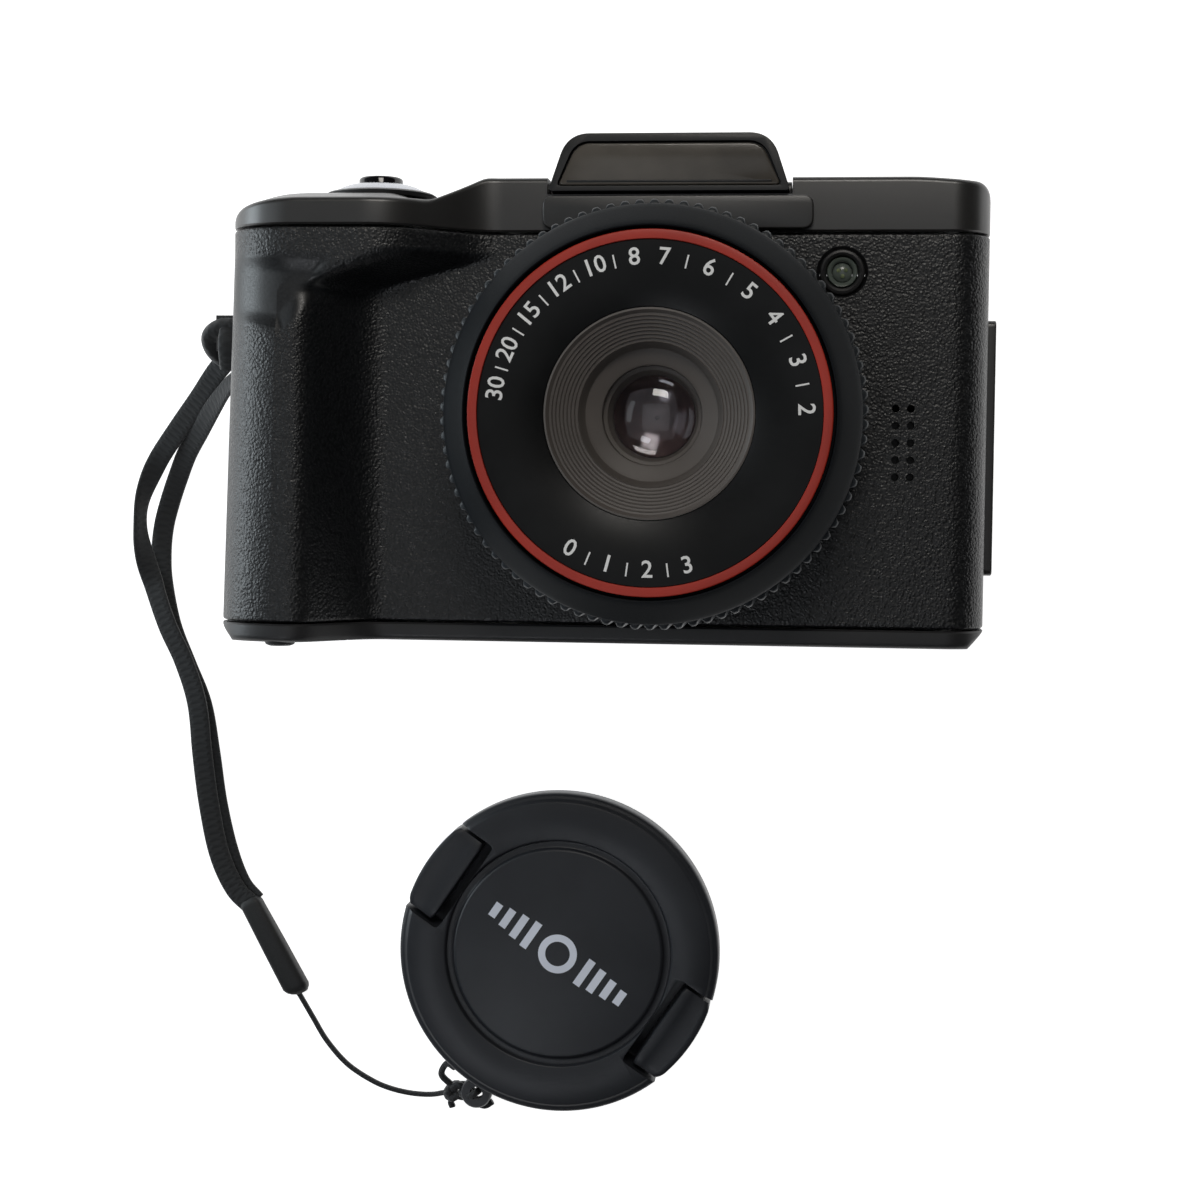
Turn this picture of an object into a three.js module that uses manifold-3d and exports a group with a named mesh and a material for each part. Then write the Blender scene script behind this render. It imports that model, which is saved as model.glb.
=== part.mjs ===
// Compact digital camera lying on its back, with a wrist strap that tethers its lens cap.
// Millimetres. +X is to the right of someone who faces the lens, +Y points to the camera's
// top plate and +Z comes straight out of the lens. Z = 0 is the surface that everything lies on.
import * as THREE from 'three';
import { mergeVertices } from 'three/addons/utils/BufferGeometryUtils.js';
import Module from 'manifold-3d';

const wasm = await Module();
wasm.setup();

// ---- Driving dimensions ----------------------------------------------------------------------
const GAP = 0.3;
const WALL = 2;
const BODY = { halfWidth: 53.5, top: 32.8, bottom: -33.2, front: 27.5, back: 1, split: 12 };
const SEAM = { top: 25, base: -30.5 };
const GRIP = { front: 37, top: 29, round: 8, ridge: -43.5, foot: -31.5, shoulder: 20.5 };
const SHOULDER = { flatEnd: -30, foot: -15.5 };
const DISH = { y: 15.5, x0: -60, x1: -38, radius: 12, depth: 1 };
const RAMP = { start: -25.5, end: -17 };
const LENS = { x: 7.8, y: -1.4, barrel: 24.3, ring: 28.6, front: 52, face: 50.3, teeth: 90 };
const CONE = { outer: 13.9, mouth: 13.4, throat: 7.8, depth: 7.5, steps: 4 };
const FLASH = { x: 8.4, halfBase: 17, halfTop: 12.6, base: 30.7, top: 38.7, back: 6.8, front: 29 };
const HINGE = { y: 30.2, z: 8.8, pin: 0.9, hole: 1.2, halfLength: 19.3 };
const FASCIA = { half: 20.4, bottom: 25.4, top: 30.1, back: 27.8, front: 28.8 };
const POCKET = { half: 18.3, floor: 27.3, sill: 30.4, back: 4.2 };
const SHUTTER = { x: -33.9, z: 22, collar: 7.2, button: 3.2, top: 33.6 };
const LED = { x: 32.8, y: 19.5, radius: 2.9 };
const SOUND = { x: 41.6, top: 0.5, rows: 5, pitch: 2.4, columns: 2.1, hole: 0.5 };
const DOOR = { y0: -23, y1: 13.4, z0: 5.5, z1: 20.5, outer: 54.8, depth: 2.6 };
const BATTERY_DOOR = { x0: -50.5, x1: -37, z0: 5, z1: 30.5, thickness: 2 };
const LUG = { y: 11.3, z: 18, width: 5.2, height: 4, tip: -59 };
const SCREEN = { x0: -17.5, x1: 49.5, y0: -26.5, y1: 21.5, round: 2 };
const CAP = { x: -8.7, y: -82.3, angle: -34, radius: 24.7, height: 8, groove: 16.8 };
const TAB = { inner: 18.8, halfWidth: 7.1, bottom: 1.8, travel: 0.8 };
const STRAP = { radius: 1.3, tetherRadius: 0.6, sides: 8, steps: 36 };

// ---- Looks -----------------------------------------------------------------------------------
const LOOKS = {
  grain: [0x1f2022, 0.7, 0],
  satin: [0x302e2c, 0.45, 0],
  base: [0x1b1b1d, 0.5, 0],
  gloss: [0x0b0b0d, 0.12, 0],
  ringBlack: [0x16181b, 0.55, 0],
  red: [0x9c2416, 0.35, 0],
  grey: [0x3d3936, 0.6, 0],
  glass: [0x20242c, 0.03, 0],
  clear: [0xb9bdb8, 0.1, 0],
  chrome: [0xb4b8be, 0.22, 1],
  steel: [0x9a9a9a, 0.35, 1],
  brass: [0xb08a45, 0.35, 1],
  board: [0x1d5a34, 0.5, 0],
  capBlack: [0x242527, 0.55, 0],
  rubber: [0x111111, 0.85, 0],
  cloth: [0x15171a, 0.9, 0],
  sleeve: [0xd0d2d4, 0.5, 0],
};

// ---- From three.js geometry to solids and back -------------------------------------------------
function toSolid(geometry) {
  const bare = geometry.clone();
  bare.deleteAttribute('normal');
  bare.deleteAttribute('uv');
  const merged = mergeVertices(bare, 1e-4);
  const index = merged.index.array;
  const triangles = [];
  for (let i = 0; i < index.length; i += 3) {
    const [a, b, c] = index.slice(i, i + 3);
    if (a !== b && b !== c && c !== a) triangles.push(a, b, c);
  }
  return new wasm.Manifold(new wasm.Mesh({
    numProp: 3,
    vertProperties: new Float32Array(merged.attributes.position.array),
    triVerts: new Uint32Array(triangles),
  }));
}

function toMesh(name, solid, look) {
  const { vertProperties, triVerts } = solid.getMesh();
  const geometry = new THREE.BufferGeometry();
  geometry.setAttribute('position', new THREE.BufferAttribute(vertProperties, 3));
  geometry.setIndex(new THREE.BufferAttribute(triVerts, 1));
  geometry.computeVertexNormals();
  const [color, roughness, metalness] = LOOKS[look];
  const mesh = new THREE.Mesh(geometry, new THREE.MeshStandardMaterial({ color, roughness, metalness }));
  mesh.name = name;
  return mesh;
}

// ---- Basic solids ------------------------------------------------------------------------------
function extrude(shape, depth, curveSegments) {
  return new THREE.ExtrudeGeometry(shape, { depth, bevelEnabled: false, curveSegments });
}

// A shape drawn in (x, y), standing from z0 to z1.
function alongZ(shape, z0, z1, curveSegments = 4) {
  return toSolid(extrude(shape, z1 - z0, curveSegments).translate(0, 0, z0));
}

// A shape drawn in (x, z), standing from y0 to y1.
function alongY(shape, y0, y1, curveSegments = 5) {
  return toSolid(extrude(shape, y1 - y0, curveSegments).rotateX(Math.PI / 2).translate(0, y1, 0));
}

function block(x0, x1, y0, y1, z0, z1) {
  const box = new THREE.BoxGeometry(x1 - x0, y1 - y0, z1 - z0);
  return toSolid(box.translate((x0 + x1) / 2, (y0 + y1) / 2, (z0 + z1) / 2));
}

function discZ(radius, x, y, z0, z1, segments = 24) {
  const disc = new THREE.CylinderGeometry(radius, radius, z1 - z0, segments).rotateX(Math.PI / 2);
  return toSolid(disc.translate(x, y, (z0 + z1) / 2));
}

function discY(radius, x, z, y0, y1, segments = 24) {
  const disc = new THREE.CylinderGeometry(radius, radius, y1 - y0, segments);
  return toSolid(disc.translate(x, (y0 + y1) / 2, z));
}

function rodX(radius, y, z, x0, x1, segments = 12) {
  const rod = new THREE.CylinderGeometry(radius, radius, x1 - x0, segments).rotateZ(Math.PI / 2);
  return toSolid(rod.translate((x0 + x1) / 2, y, z));
}

// A profile of [radius, height] pairs, turned about an axis along Y through the origin.
function turned(profile, segments) {
  const points = profile.map(([radius, height]) => new THREE.Vector2(radius, height));
  const isClosed = points[0].x > 0 || points.at(-1).x > 0;
  if (THREE.ShapeUtils.area(points) < 0) points.reverse();
  if (isClosed) points.push(points[0].clone());
  return new THREE.LatheGeometry(points, segments);
}

function turnZ(profile, segments = 48) {
  return toSolid(turned(profile, segments).rotateX(Math.PI / 2));
}

function turnY(profile, x, z, segments = 24) {
  return toSolid(turned(profile, segments).translate(x, 0, z));
}

function roundedRectangle(x0, x1, y0, y1, radius) {
  const shape = new THREE.Shape();
  shape.moveTo(x0 + radius, y0);
  shape.lineTo(x1 - radius, y0);
  shape.absarc(x1 - radius, y0 + radius, radius, -Math.PI / 2, 0, false);
  shape.absarc(x1 - radius, y1 - radius, radius, 0, Math.PI / 2, false);
  shape.absarc(x0 + radius, y1 - radius, radius, Math.PI / 2, Math.PI, false);
  shape.absarc(x0 + radius, y0 + radius, radius, Math.PI, 1.5 * Math.PI, false);
  return shape;
}

function helix(radius, wire, length, turns, stepsPerTurn = 8) {
  const points = [];
  for (let i = 0; i <= turns * stepsPerTurn; i++) {
    const angle = (i / stepsPerTurn) * 2 * Math.PI;
    const height = (i / (turns * stepsPerTurn)) * length;
    points.push(new THREE.Vector3(radius * Math.cos(angle), height, radius * Math.sin(angle)));
  }
  return tube(points, wire, 6, turns * stepsPerTurn);
}

function tube(points, radius, sides, steps) {
  const section = new THREE.Shape();
  section.absarc(0, 0, radius, 0, 2 * Math.PI, false);
  return new THREE.ExtrudeGeometry(section, {
    steps,
    curveSegments: sides / 2,
    bevelEnabled: false,
    extrudePath: new THREE.CatmullRomCurve3(points),
  });
}

// ---- Outlines of the body ----------------------------------------------------------------------
// The body seen from its top plate, in (x, z). The wide form is the shoulder over the fingers,
// the narrow form is the grip below it. The rear corners are rounded when rearRound is not 0.
function planProfile(inset, back, isWide, rearRound = 0) {
  const left = -BODY.halfWidth + inset;
  const right = BODY.halfWidth - inset;
  const front = BODY.front - inset;
  const grip = GRIP.front - inset;
  const round = GRIP.round - inset;
  const corner = 5.5 - inset;
  const flatEnd = (isWide ? SHOULDER.flatEnd : GRIP.ridge) - inset;
  const foot = (isWide ? SHOULDER.foot : GRIP.foot) - inset;
  const pull = (foot - flatEnd) * (isWide ? 0.5 : 0.55);
  const shape = new THREE.Shape();
  shape.moveTo(left, back + rearRound);
  shape.lineTo(left, grip - round);
  shape.absarc(left + round, grip - round, round, Math.PI, Math.PI / 2, true);
  shape.lineTo(flatEnd, grip);
  shape.bezierCurveTo(flatEnd + pull, grip, foot - pull, front, foot, front);
  shape.lineTo(right - corner, front);
  shape.absarc(right - corner, front - corner, corner, Math.PI / 2, 0, true);
  shape.lineTo(right, back + rearRound);
  if (rearRound > 0) {
    shape.absarc(right - rearRound, back + rearRound, rearRound, 0, -Math.PI / 2, true);
    shape.absarc(left + rearRound, back + rearRound, rearRound, -Math.PI / 2, -Math.PI, true);
  } else {
    shape.lineTo(left, back);
  }
  return shape;
}

// A plain rounded slab of the body's width, in (x, z), for the rear half.
function rearProfile(inset, back, front, round) {
  const left = -BODY.halfWidth + inset;
  const right = BODY.halfWidth - inset;
  const shape = new THREE.Shape();
  shape.moveTo(left, front);
  shape.lineTo(right, front);
  shape.absarc(right - round, back + round, round, 0, -Math.PI / 2, true);
  shape.absarc(left + round, back + round, round, -Math.PI / 2, -Math.PI, true);
  return shape;
}

// The top plate seen from the front, in (x, y): the low deck over the grip, its ramp, the high deck.
function topOutline(inset) {
  const left = -BODY.halfWidth + inset;
  const right = BODY.halfWidth - inset;
  const low = GRIP.top - inset;
  const high = BODY.top - inset;
  const shape = new THREE.Shape();
  shape.moveTo(left, 0);
  shape.lineTo(left, low - 3.6);
  shape.quadraticCurveTo(left, low - 0.3, left + 11, low);
  shape.lineTo(RAMP.start + inset / 2, low);
  shape.lineTo(RAMP.end + inset / 2, high);
  shape.lineTo(right - 4, high);
  shape.absarc(right - 4, high - 4, 4, Math.PI / 2, 0, true);
  shape.lineTo(right, 0);
  return shape;
}

// The base band seen from the front: both ends are cut back towards the bottom.
function baseOutline() {
  const shape = new THREE.Shape();
  shape.moveTo(-BODY.halfWidth, 0);
  shape.lineTo(-BODY.halfWidth, SEAM.base);
  shape.lineTo(-BODY.halfWidth + 2.3, BODY.bottom);
  shape.lineTo(BODY.halfWidth - 2.3, BODY.bottom);
  shape.lineTo(BODY.halfWidth, SEAM.base);
  shape.lineTo(BODY.halfWidth, 0);
  return shape;
}

// ---- Casings -----------------------------------------------------------------------------------
const doorHole = block(50, 60, DOOR.y0 - GAP, DOOR.y1 + GAP, DOOR.z0 - GAP, DOOR.z1 + GAP);
const shellBottom = SEAM.base + GAP / 2;
const shellTop = SEAM.top - GAP / 2;

function frontShell() {
  const back = BODY.split + GAP / 2;
  const open = BODY.split - 1;
  let shell = alongY(planProfile(0, back, false), shellBottom, GRIP.shoulder + 1)
    .add(alongY(planProfile(0, back, true), GRIP.shoulder, shellTop))
    .subtract(alongY(planProfile(WALL, open, false), shellBottom - 1, shellTop + 1))
    .subtract(alongY(planProfile(WALL, open, true), GRIP.shoulder + WALL, shellTop + 1))
    .subtract(discZ(LENS.barrel + GAP, LENS.x, LENS.y, 20, 30, 48))
    .subtract(discZ(LED.radius + GAP, LED.x, LED.y, 24, 29, 20))
    .subtract(doorHole)
    .subtract(lugNeck(GAP));
  const dish = rodX(DISH.radius, DISH.y, GRIP.front - DISH.depth + DISH.radius, DISH.x0, DISH.x1, 48);
  shell = shell.subtract(dish);
  for (const side of [-0.5, 0.5]) {
    for (let row = 0; row < SOUND.rows; row++) {
      const x = SOUND.x + side * SOUND.columns;
      const y = SOUND.top - row * SOUND.pitch;
      shell = shell.subtract(discZ(SOUND.hole, x, y, 25, 28, 8));
    }
  }
  return shell;
}

function rearShell() {
  const front = BODY.split - GAP / 2;
  const thumbRest = roundedRectangle(-50, -37, 2, 19, 4);
  const screenHole = roundedRectangle(
    SCREEN.x0 - GAP, SCREEN.x1 + GAP, SCREEN.y0 - GAP, SCREEN.y1 + GAP, SCREEN.round + GAP);
  let shell = alongY(rearProfile(0, BODY.back, front, 3.5), shellBottom, shellTop)
    .subtract(alongY(rearProfile(WALL, BODY.back + WALL, front + 1, 1.5), shellBottom - 1, shellTop + 1))
    .add(alongZ(thumbRest, 0, BODY.back + 0.5, 4))
    .subtract(alongZ(screenHole, 0, 4, 4))
    .subtract(doorHole);
  for (const button of REAR_BUTTONS) {
    shell = shell.subtract(alongZ(button.outline(GAP), 0, 4, button.curve));
  }
  return shell;
}

function topCover() {
  const back = BODY.back + 0.4;
  const bottom = SEAM.top + GAP / 2;
  const { x } = FLASH;
  const pocketWall = WALL - 0.5;
  const outer = alongY(planProfile(0, back, true, 3), bottom, 40).intersect(alongZ(topOutline(0), 0, 60));
  const inner = alongY(planProfile(WALL, back + WALL, true, 1.5), bottom - 1, BODY.top)
    .intersect(alongZ(topOutline(WALL), 0, 60));
  const half = POCKET.half + pocketWall;
  const pocketBox = block(x - half, x + half, POCKET.floor - pocketWall, 40, 2, 30);
  return outer.subtract(inner)
    .add(outer.intersect(pocketBox))
    .subtract(block(x - POCKET.half, x + POCKET.half, POCKET.floor, 40, POCKET.back, BODY.front - WALL))
    .subtract(block(x - POCKET.half, x + POCKET.half, POCKET.sill, 40, POCKET.back, 40))
    .subtract(rodX(HINGE.hole, HINGE.y, HINGE.z, x - 25, x + 25))
    .subtract(discY(4.7 + GAP, SHUTTER.x, SHUTTER.z, 20, 40))
    .subtract(discY(POWER.radius + GAP, POWER.x, POWER.z, 20, 40, 20));
}

function basePlate() {
  const doorCut = roundedRectangle(
    BATTERY_DOOR.x0 - GAP, BATTERY_DOOR.x1 + GAP, BATTERY_DOOR.z0 - GAP, BATTERY_DOOR.z1 + GAP, 1.5);
  let plate = alongY(planProfile(0, BODY.back + 0.4, false, 3), BODY.bottom, SEAM.base - GAP / 2)
    .intersect(alongZ(baseOutline(), 0, 60))
    .subtract(alongY(doorCut, -40, -25, 3))
    .subtract(discY(4 + GAP, LENS.x, TRIPOD.z, -40, -25));
  for (const { x, z } of BASE_SCREWS) {
    plate = plate.subtract(discY(0.8 + GAP, x, z, -40, -25, 12))
      .subtract(discY(1.6 + GAP, x, z, -40, BODY.bottom + 1.3, 16));
  }
  for (const { x, z } of FEET) {
    plate = plate.subtract(discY(2.2 + GAP, x, z, -40, BODY.bottom + 0.7, 16));
  }
  return plate;
}

// A raised trim plate on the front of the centre hump, above the lens.
function humpFascia() {
  const { half, bottom, top, back, front } = FASCIA;
  return alongZ(roundedRectangle(LENS.x - half, LENS.x + half, bottom, top, 0.6), back, front, 3);
}

function foot({ x, z }) {
  const top = BODY.bottom + 0.4;
  return turnY([[0, top - 1], [1.7, top - 1], [2.2, top - 0.6], [2.2, top], [0, top]], x, z, 16);
}

// ---- Base: tripod nut, screws, feet, battery door ----------------------------------------------
const TRIPOD = { z: 13.5, bore: 3.1 };
const BASE_SCREWS = [{ x: -26, z: 6 }, { x: -26, z: 22 }, { x: 46, z: 6 }, { x: 46, z: 22 }];
const FEET = [{ x: -45.6, z: 34 }, { x: 49.2, z: 14 }];

function tripodNut() {
  const { bore } = TRIPOD;
  const [low, lip, high] = [BODY.bottom + 0.2, SEAM.base + 0.3, -24.5];
  return turnY([[bore, low], [4, low], [4, lip], [6, lip], [6, high], [bore, high]], LENS.x, TRIPOD.z);
}

function baseScrew({ x, z }) {
  const head = BODY.bottom + 0.3;
  const screw = turnY(
    [[0, head], [1.6, head], [1.6, head + 0.7], [0.8, head + 0.7], [0.8, head + 7], [0, head + 7]], x, z, 12);
  return screw
    .subtract(block(x - 1.2, x + 1.2, -40, head + 0.35, z - 0.2, z + 0.2))
    .subtract(block(x - 0.2, x + 0.2, -40, head + 0.35, z - 1.2, z + 1.2));
}

function batteryDoor() {
  const { x0, x1, z0, z1, thickness } = BATTERY_DOOR;
  const plate = alongY(roundedRectangle(x0, x1, z0, z1, 1.2), BODY.bottom, BODY.bottom + thickness, 3);
  const latch = block(x0 + 0.5, x0 + 1.7, BODY.bottom + 1, BODY.bottom + 3.4, 14, 22);
  const thumbGroove = rodX(0.6, BODY.bottom - 0.2, 0, -1, 1).rotate([0, 90, 0]).translate([x0 + 2, 0, 18]);
  return plate.add(latch).subtract(thumbGroove);
}

// ---- Battery and its bay -----------------------------------------------------------------------
const BATTERY = { x0: -48.4, x1: -42.4, y0: -29.2, y1: 8.8, z0: 6, z1: 31 };

function batteryBay() {
  const { x0, x1, y1, z0, z1 } = BATTERY;
  return block(x0 - 1.3, x1 + 1.3, -26, y1 + 3.6, z0 - 1.3, z1 + 1.3)
    .subtract(block(x0 - GAP, x1 + GAP, -27, y1 + 2.4, z0 - GAP, z1 + GAP));
}

function batteryPack() {
  const { x0, x1, y0, y1, z0, z1 } = BATTERY;
  return alongY(roundedRectangle(x0, x1, z0, z1, 1.5), y0, y1, 3);
}

// One strip that carries two raised pads, under the closed end of the bay.
function batteryContact() {
  const middle = (BATTERY.x0 + BATTERY.x1) / 2;
  const [pad, strip, top] = [BATTERY.y1 + 0.3, BATTERY.y1 + 1, BATTERY.y1 + 2];
  let contact = block(middle - 1.5, middle + 1.5, strip, top, 9, 27);
  for (const z of [12, 24]) {
    contact = contact.add(block(middle - 1, middle + 1, pad, strip + 0.5, z - 1.5, z + 1.5));
  }
  return contact;
}

// ---- Lens, drawn about its own axis ------------------------------------------------------------
function lensBarrel() {
  const { barrel, face } = LENS;
  const tube = barrel - 0.3;
  return turnZ([
    [22, 20], [tube, 20], [tube, 27.8], [26.4, 27.8], [26.4, 31], [barrel, 31],
    [barrel, face], [14.2, face], [14.2, face - 2], [22, face - 2],
  ], 48);
}

// The big ring: knurled teeth round the outside, then a cone that narrows to the front lip.
function knurledRing() {
  const { ring, teeth, front, barrel } = LENS;
  const gear = new THREE.Shape();
  for (let i = 0; i < teeth * 2; i++) {
    const angle = (i / (teeth * 2)) * 2 * Math.PI;
    const radius = i % 2 ? ring : ring - 0.55;
    const point = [radius * Math.cos(angle), radius * Math.sin(angle)];
    if (i === 0) gear.moveTo(...point);
    else gear.lineTo(...point);
  }
  const wide = ring + 1;
  const cone = turnZ([
    [0, 30], [wide, 30], [wide, 45.4], [ring - 0.6, 47], [25.2, front], [0, front],
  ], 48);
  return alongZ(gear, 31.3, front).intersect(cone).subtract(discZ(barrel + GAP, 0, 0, 30, 60, 48));
}

function redRing() {
  const { face } = LENS;
  return turnZ([[22.9, face + 0.3], [23.9, face + 0.3], [23.9, face + 1.4], [22.9, face + 1.4]]);
}

function lensFace() {
  const { face } = LENS;
  return turnZ([[14.3, face + 0.3], [22.6, face + 0.3], [22.6, face + 1.1], [14.3, face + 1.1]]);
}

// The grey light baffle: a stepped funnel from the face down to the front glass.
function baffleCone() {
  const { outer, mouth, throat, depth, steps } = CONE;
  const top = LENS.face + 0.9;
  const profile = [[outer, top - depth - 1.5], [outer, top], [mouth, top]];
  for (let i = 1; i <= steps; i++) {
    const radius = mouth + ((throat - mouth) * i) / steps;
    const previous = mouth + ((throat - mouth) * (i - 1)) / steps;
    profile.push([previous, top - (depth * i) / steps], [radius, top - (depth * i) / steps]);
  }
  profile.push([throat, top - depth - 1.5]);
  return turnZ(profile, 32);
}

function lensHolder() {
  return turnZ([[4.6, 24.2], [7.4, 24.2], [7.4, 44.5], [6.1, 44.5], [6.1, 39], [4.6, 39]], 32);
}

function lensElement(radius, bottom, rim, crown, segments = 24) {
  const top = bottom + rim;
  const profile = [[0, bottom], [radius, bottom], [radius, top]];
  for (const share of [0.75, 0.5, 0.25, 0]) {
    profile.push([radius * share, top + crown * (1 - share * share)]);
  }
  return turnZ(profile, segments);
}

// ---- Sensor stack, in the lens group -----------------------------------------------------------
// A square plate centred on the lens axis.
const plate = (half, z0, z1) => block(-half, half, -half, half, z0, z1);

// ---- Pop-up flash ------------------------------------------------------------------------------
function flashOutline(inset) {
  const { x, halfBase, halfTop, base, top } = FLASH;
  const [half, crown] = [halfBase - inset, halfTop - inset];
  const [low, high] = [base + inset / 2, top - inset];
  const shape = new THREE.Shape();
  shape.moveTo(x - half, low);
  shape.lineTo(x + half, low);
  shape.lineTo(x + crown + 2.2, high - 3);
  shape.quadraticCurveTo(x + crown + 1, high - 0.3, x + crown - 2, high);
  shape.lineTo(x - crown + 2, high);
  shape.quadraticCurveTo(x - crown - 1, high - 0.3, x - crown - 2.2, high - 3);
  return shape;
}

function flashHead() {
  const { x, base, back, front } = FLASH;
  let head = alongZ(flashOutline(0), back, front, 4);
  for (const side of [-1, 1]) {
    const [near, far] = [x + side * 16.4, x + side * 17.9];
    head = head.add(block(Math.min(near, far), Math.max(near, far), 28.2, base + 0.6, back, 24.5));
  }
  return head
    .subtract(alongZ(flashOutline(1.2), front - 2.3, front + 1, 4))
    .subtract(block(x - 10.8, x + 10.8, 32.2, 36.8, 19.5, front))
    .subtract(rodX(HINGE.hole, HINGE.y, HINGE.z, x - 25, x + 25))
    .subtract(block(x - 15.6, x - 10.4, 27, 32.6, 5, 11.6));
}

function flashWindow() {
  return alongZ(flashOutline(1.5), FLASH.front - 2, FLASH.front - 0.3, 4);
}

function flashReflector() {
  const { x } = FLASH;
  const bowl = rodX(3.2, 34.5, 27, x - 10, x + 10, 20);
  return block(x - 10.5, x + 10.5, 32.5, 36.5, 20, 26.6).subtract(bowl);
}

function hingePin() {
  const { pin, y, z, halfLength } = HINGE;
  return rodX(pin, y, z, FLASH.x - halfLength, FLASH.x + halfLength);
}

function flashSpring() {
  const coil = helix(1.9, 0.3, 4, 3).rotateZ(-Math.PI / 2);
  return toSolid(coil.translate(FLASH.x - 15, HINGE.y, HINGE.z));
}

// ---- Shutter release and top buttons -----------------------------------------------------------
const POWER = { x: 36, z: 13, radius: 3.2 };

function shutterCollar() {
  const { x, z, collar, button } = SHUTTER;
  const deck = GRIP.top + GAP;
  const bore = button + GAP;
  return turnY([
    [bore, 26], [4.7, 26], [4.7, deck], [collar, deck], [collar, deck + 0.5], [6.4, deck + 1.5],
    [5.2, deck + 2.5], [bore + 0.5, deck + 3.1], [bore, deck + 3.1],
  ], x, z, 24);
}

function shutterButton() {
  const { x, z, button, top } = SHUTTER;
  return turnY([
    [0, 24.9], [4.4, 24.9], [4.4, 25.7], [button, 25.7], [button, top - 0.6], [button - 0.5, top],
    [0, top - 0.2],
  ], x, z, 20);
}

function shutterSwitch() {
  const { x, z } = SHUTTER;
  return block(x - 3, x + 3, 18.6, 20.4, z - 3, z + 3).add(discY(1.5, x, z, 20, 21.1, 12));
}

function topButton({ x, z, radius }) {
  const high = BODY.top + 0.8;
  return turnY([
    [0, 29.2], [radius + 0.8, 29.2], [radius + 0.8, 30.2], [radius, 30.2], [radius, high - 0.4],
    [radius - 0.4, high], [0, high],
  ], x, z, 16);
}

// ---- Rear controls -----------------------------------------------------------------------------
function circleOutline(x, y, radius) {
  const shape = new THREE.Shape();
  shape.absarc(x, y, radius, 0, 2 * Math.PI, false);
  return shape;
}

const ROCKER = { x: -27.5, y: 17, halfLength: 6, halfWidth: 2.4 };
const PAD = { x: -34, y: -8.5, radius: 8.2, hole: 4.1, ok: 3.7 };

const REAR_BUTTONS = [
  {
    name: 'zoom_rocker',
    curve: 4,
    outline: (extra) => roundedRectangle(
      ROCKER.x - ROCKER.halfLength - extra, ROCKER.x + ROCKER.halfLength + extra,
      ROCKER.y - ROCKER.halfWidth - extra, ROCKER.y + ROCKER.halfWidth + extra, ROCKER.halfWidth),
  },
  { name: 'menu_button', curve: 8, outline: (extra) => circleOutline(-26, 6.5, 2.6 + extra) },
  { name: 'play_button', curve: 8, outline: (extra) => circleOutline(-25.5, -23.5, 2.6 + extra) },
  { name: 'four_way_pad', curve: 12, outline: (extra) => circleOutline(PAD.x, PAD.y, PAD.radius + extra) },
];

// Each cap stands a little proud of the rear face and has a flange that keeps it in.
function rearButton({ name, outline, curve }) {
  const cap = alongZ(outline(0), 0.4, 4.2, curve).add(alongZ(outline(0.8), 3.3, 4.2, curve));
  if (name !== 'four_way_pad') return cap;
  return cap.subtract(discZ(PAD.hole, PAD.x, PAD.y, 0, 6, 20));
}

function okButton() {
  return turnZ([[0, 0.35], [PAD.ok - 0.4, 0.35], [PAD.ok, 0.7], [PAD.ok, 4], [0, 4]], 20)
    .translate([PAD.x, PAD.y, 0]);
}

// ---- Screen ------------------------------------------------------------------------------------
function screenRectangle(inset) {
  const { x0, x1, y0, y1, round } = SCREEN;
  const corner = Math.max(round - inset / 2, 0.6);
  return roundedRectangle(x0 + inset, x1 - inset, y0 + inset, y1 - inset, corner);
}

function screenFrame() {
  return alongZ(screenRectangle(0), 0, 2.6, 4).subtract(alongZ(screenRectangle(1.4), -1, 4, 4));
}

// ---- Side door and what is behind it -----------------------------------------------------------
function sideDoor() {
  const { y0, y1, z0, z1, outer, depth } = DOOR;
  return alongY(roundedRectangle(outer - depth, outer, z0, z1, 0.8), y0, y1, 3)
    .subtract(block(outer - depth - 1, outer - depth + 1, y0 + 3, y1 - 3, z0 + 3, z1 - 3));
}

function usbSocket() {
  return block(46.5, 51.6, -5, 3, 10.6, 13.6).subtract(block(47.2, 53, -4.6, 2.6, 11, 13.2));
}

function cardSlot() {
  return block(35, 50.4, -19.5, -7, 10.6, 13.2).subtract(block(36, 52, -18.8, -7.7, 11.3, 12.6));
}

// ---- Lamp rim and speaker ----------------------------------------------------------------------
function ledBezel() {
  const inner = LED.radius - 0.7;
  const profile = [[inner, 25.6], [LED.radius, 25.6], [LED.radius, 27.9], [2.5, 28.1], [inner, 27.9]];
  return turnZ(profile, 20).translate([LED.x, LED.y, 0]);
}

function speaker() {
  const profile = [[0, 20], [6.5, 20], [6.5, 23.4], [5.4, 24.4], [0, 24.4]];
  return turnZ(profile, 24).translate([43, -5.6, 0]);
}

// ---- Strap lug on the left side ----------------------------------------------------------------
function lugNeck(extra) {
  const { y, z } = LUG;
  const [halfY, halfZ] = [LUG.width / 2 - 0.6 + extra, LUG.height / 2 - 0.5 + extra];
  return block(-55, -50, y - halfY, y + halfY, z - halfZ, z + halfZ);
}

function strapLug() {
  const { y, z, width, height, tip } = LUG;
  const [y0, y1] = [y - width / 2, y + width / 2];
  const outerX = -BODY.halfWidth - GAP;
  const eye = block(tip + 1.2, outerX - 1.4, y - 1.4, y + 1.4, 0, 40);
  const flange = block(-50.8, -49.8, y0 - 0.5, y1 + 0.5, z - height / 2, z + height / 2);
  return block(tip, outerX, y0, y1, z - height / 2, z + height / 2)
    .add(lugNeck(0)).add(flange).subtract(eye);
}

// ---- Lens cap, drawn about its own centre with its two tabs on the X axis -----------------------
const EYELET = { angle: -85.4, distance: 26.2, outer: 2.4, bore: 1, z0: 3.4, z1: 5.4 };

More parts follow.
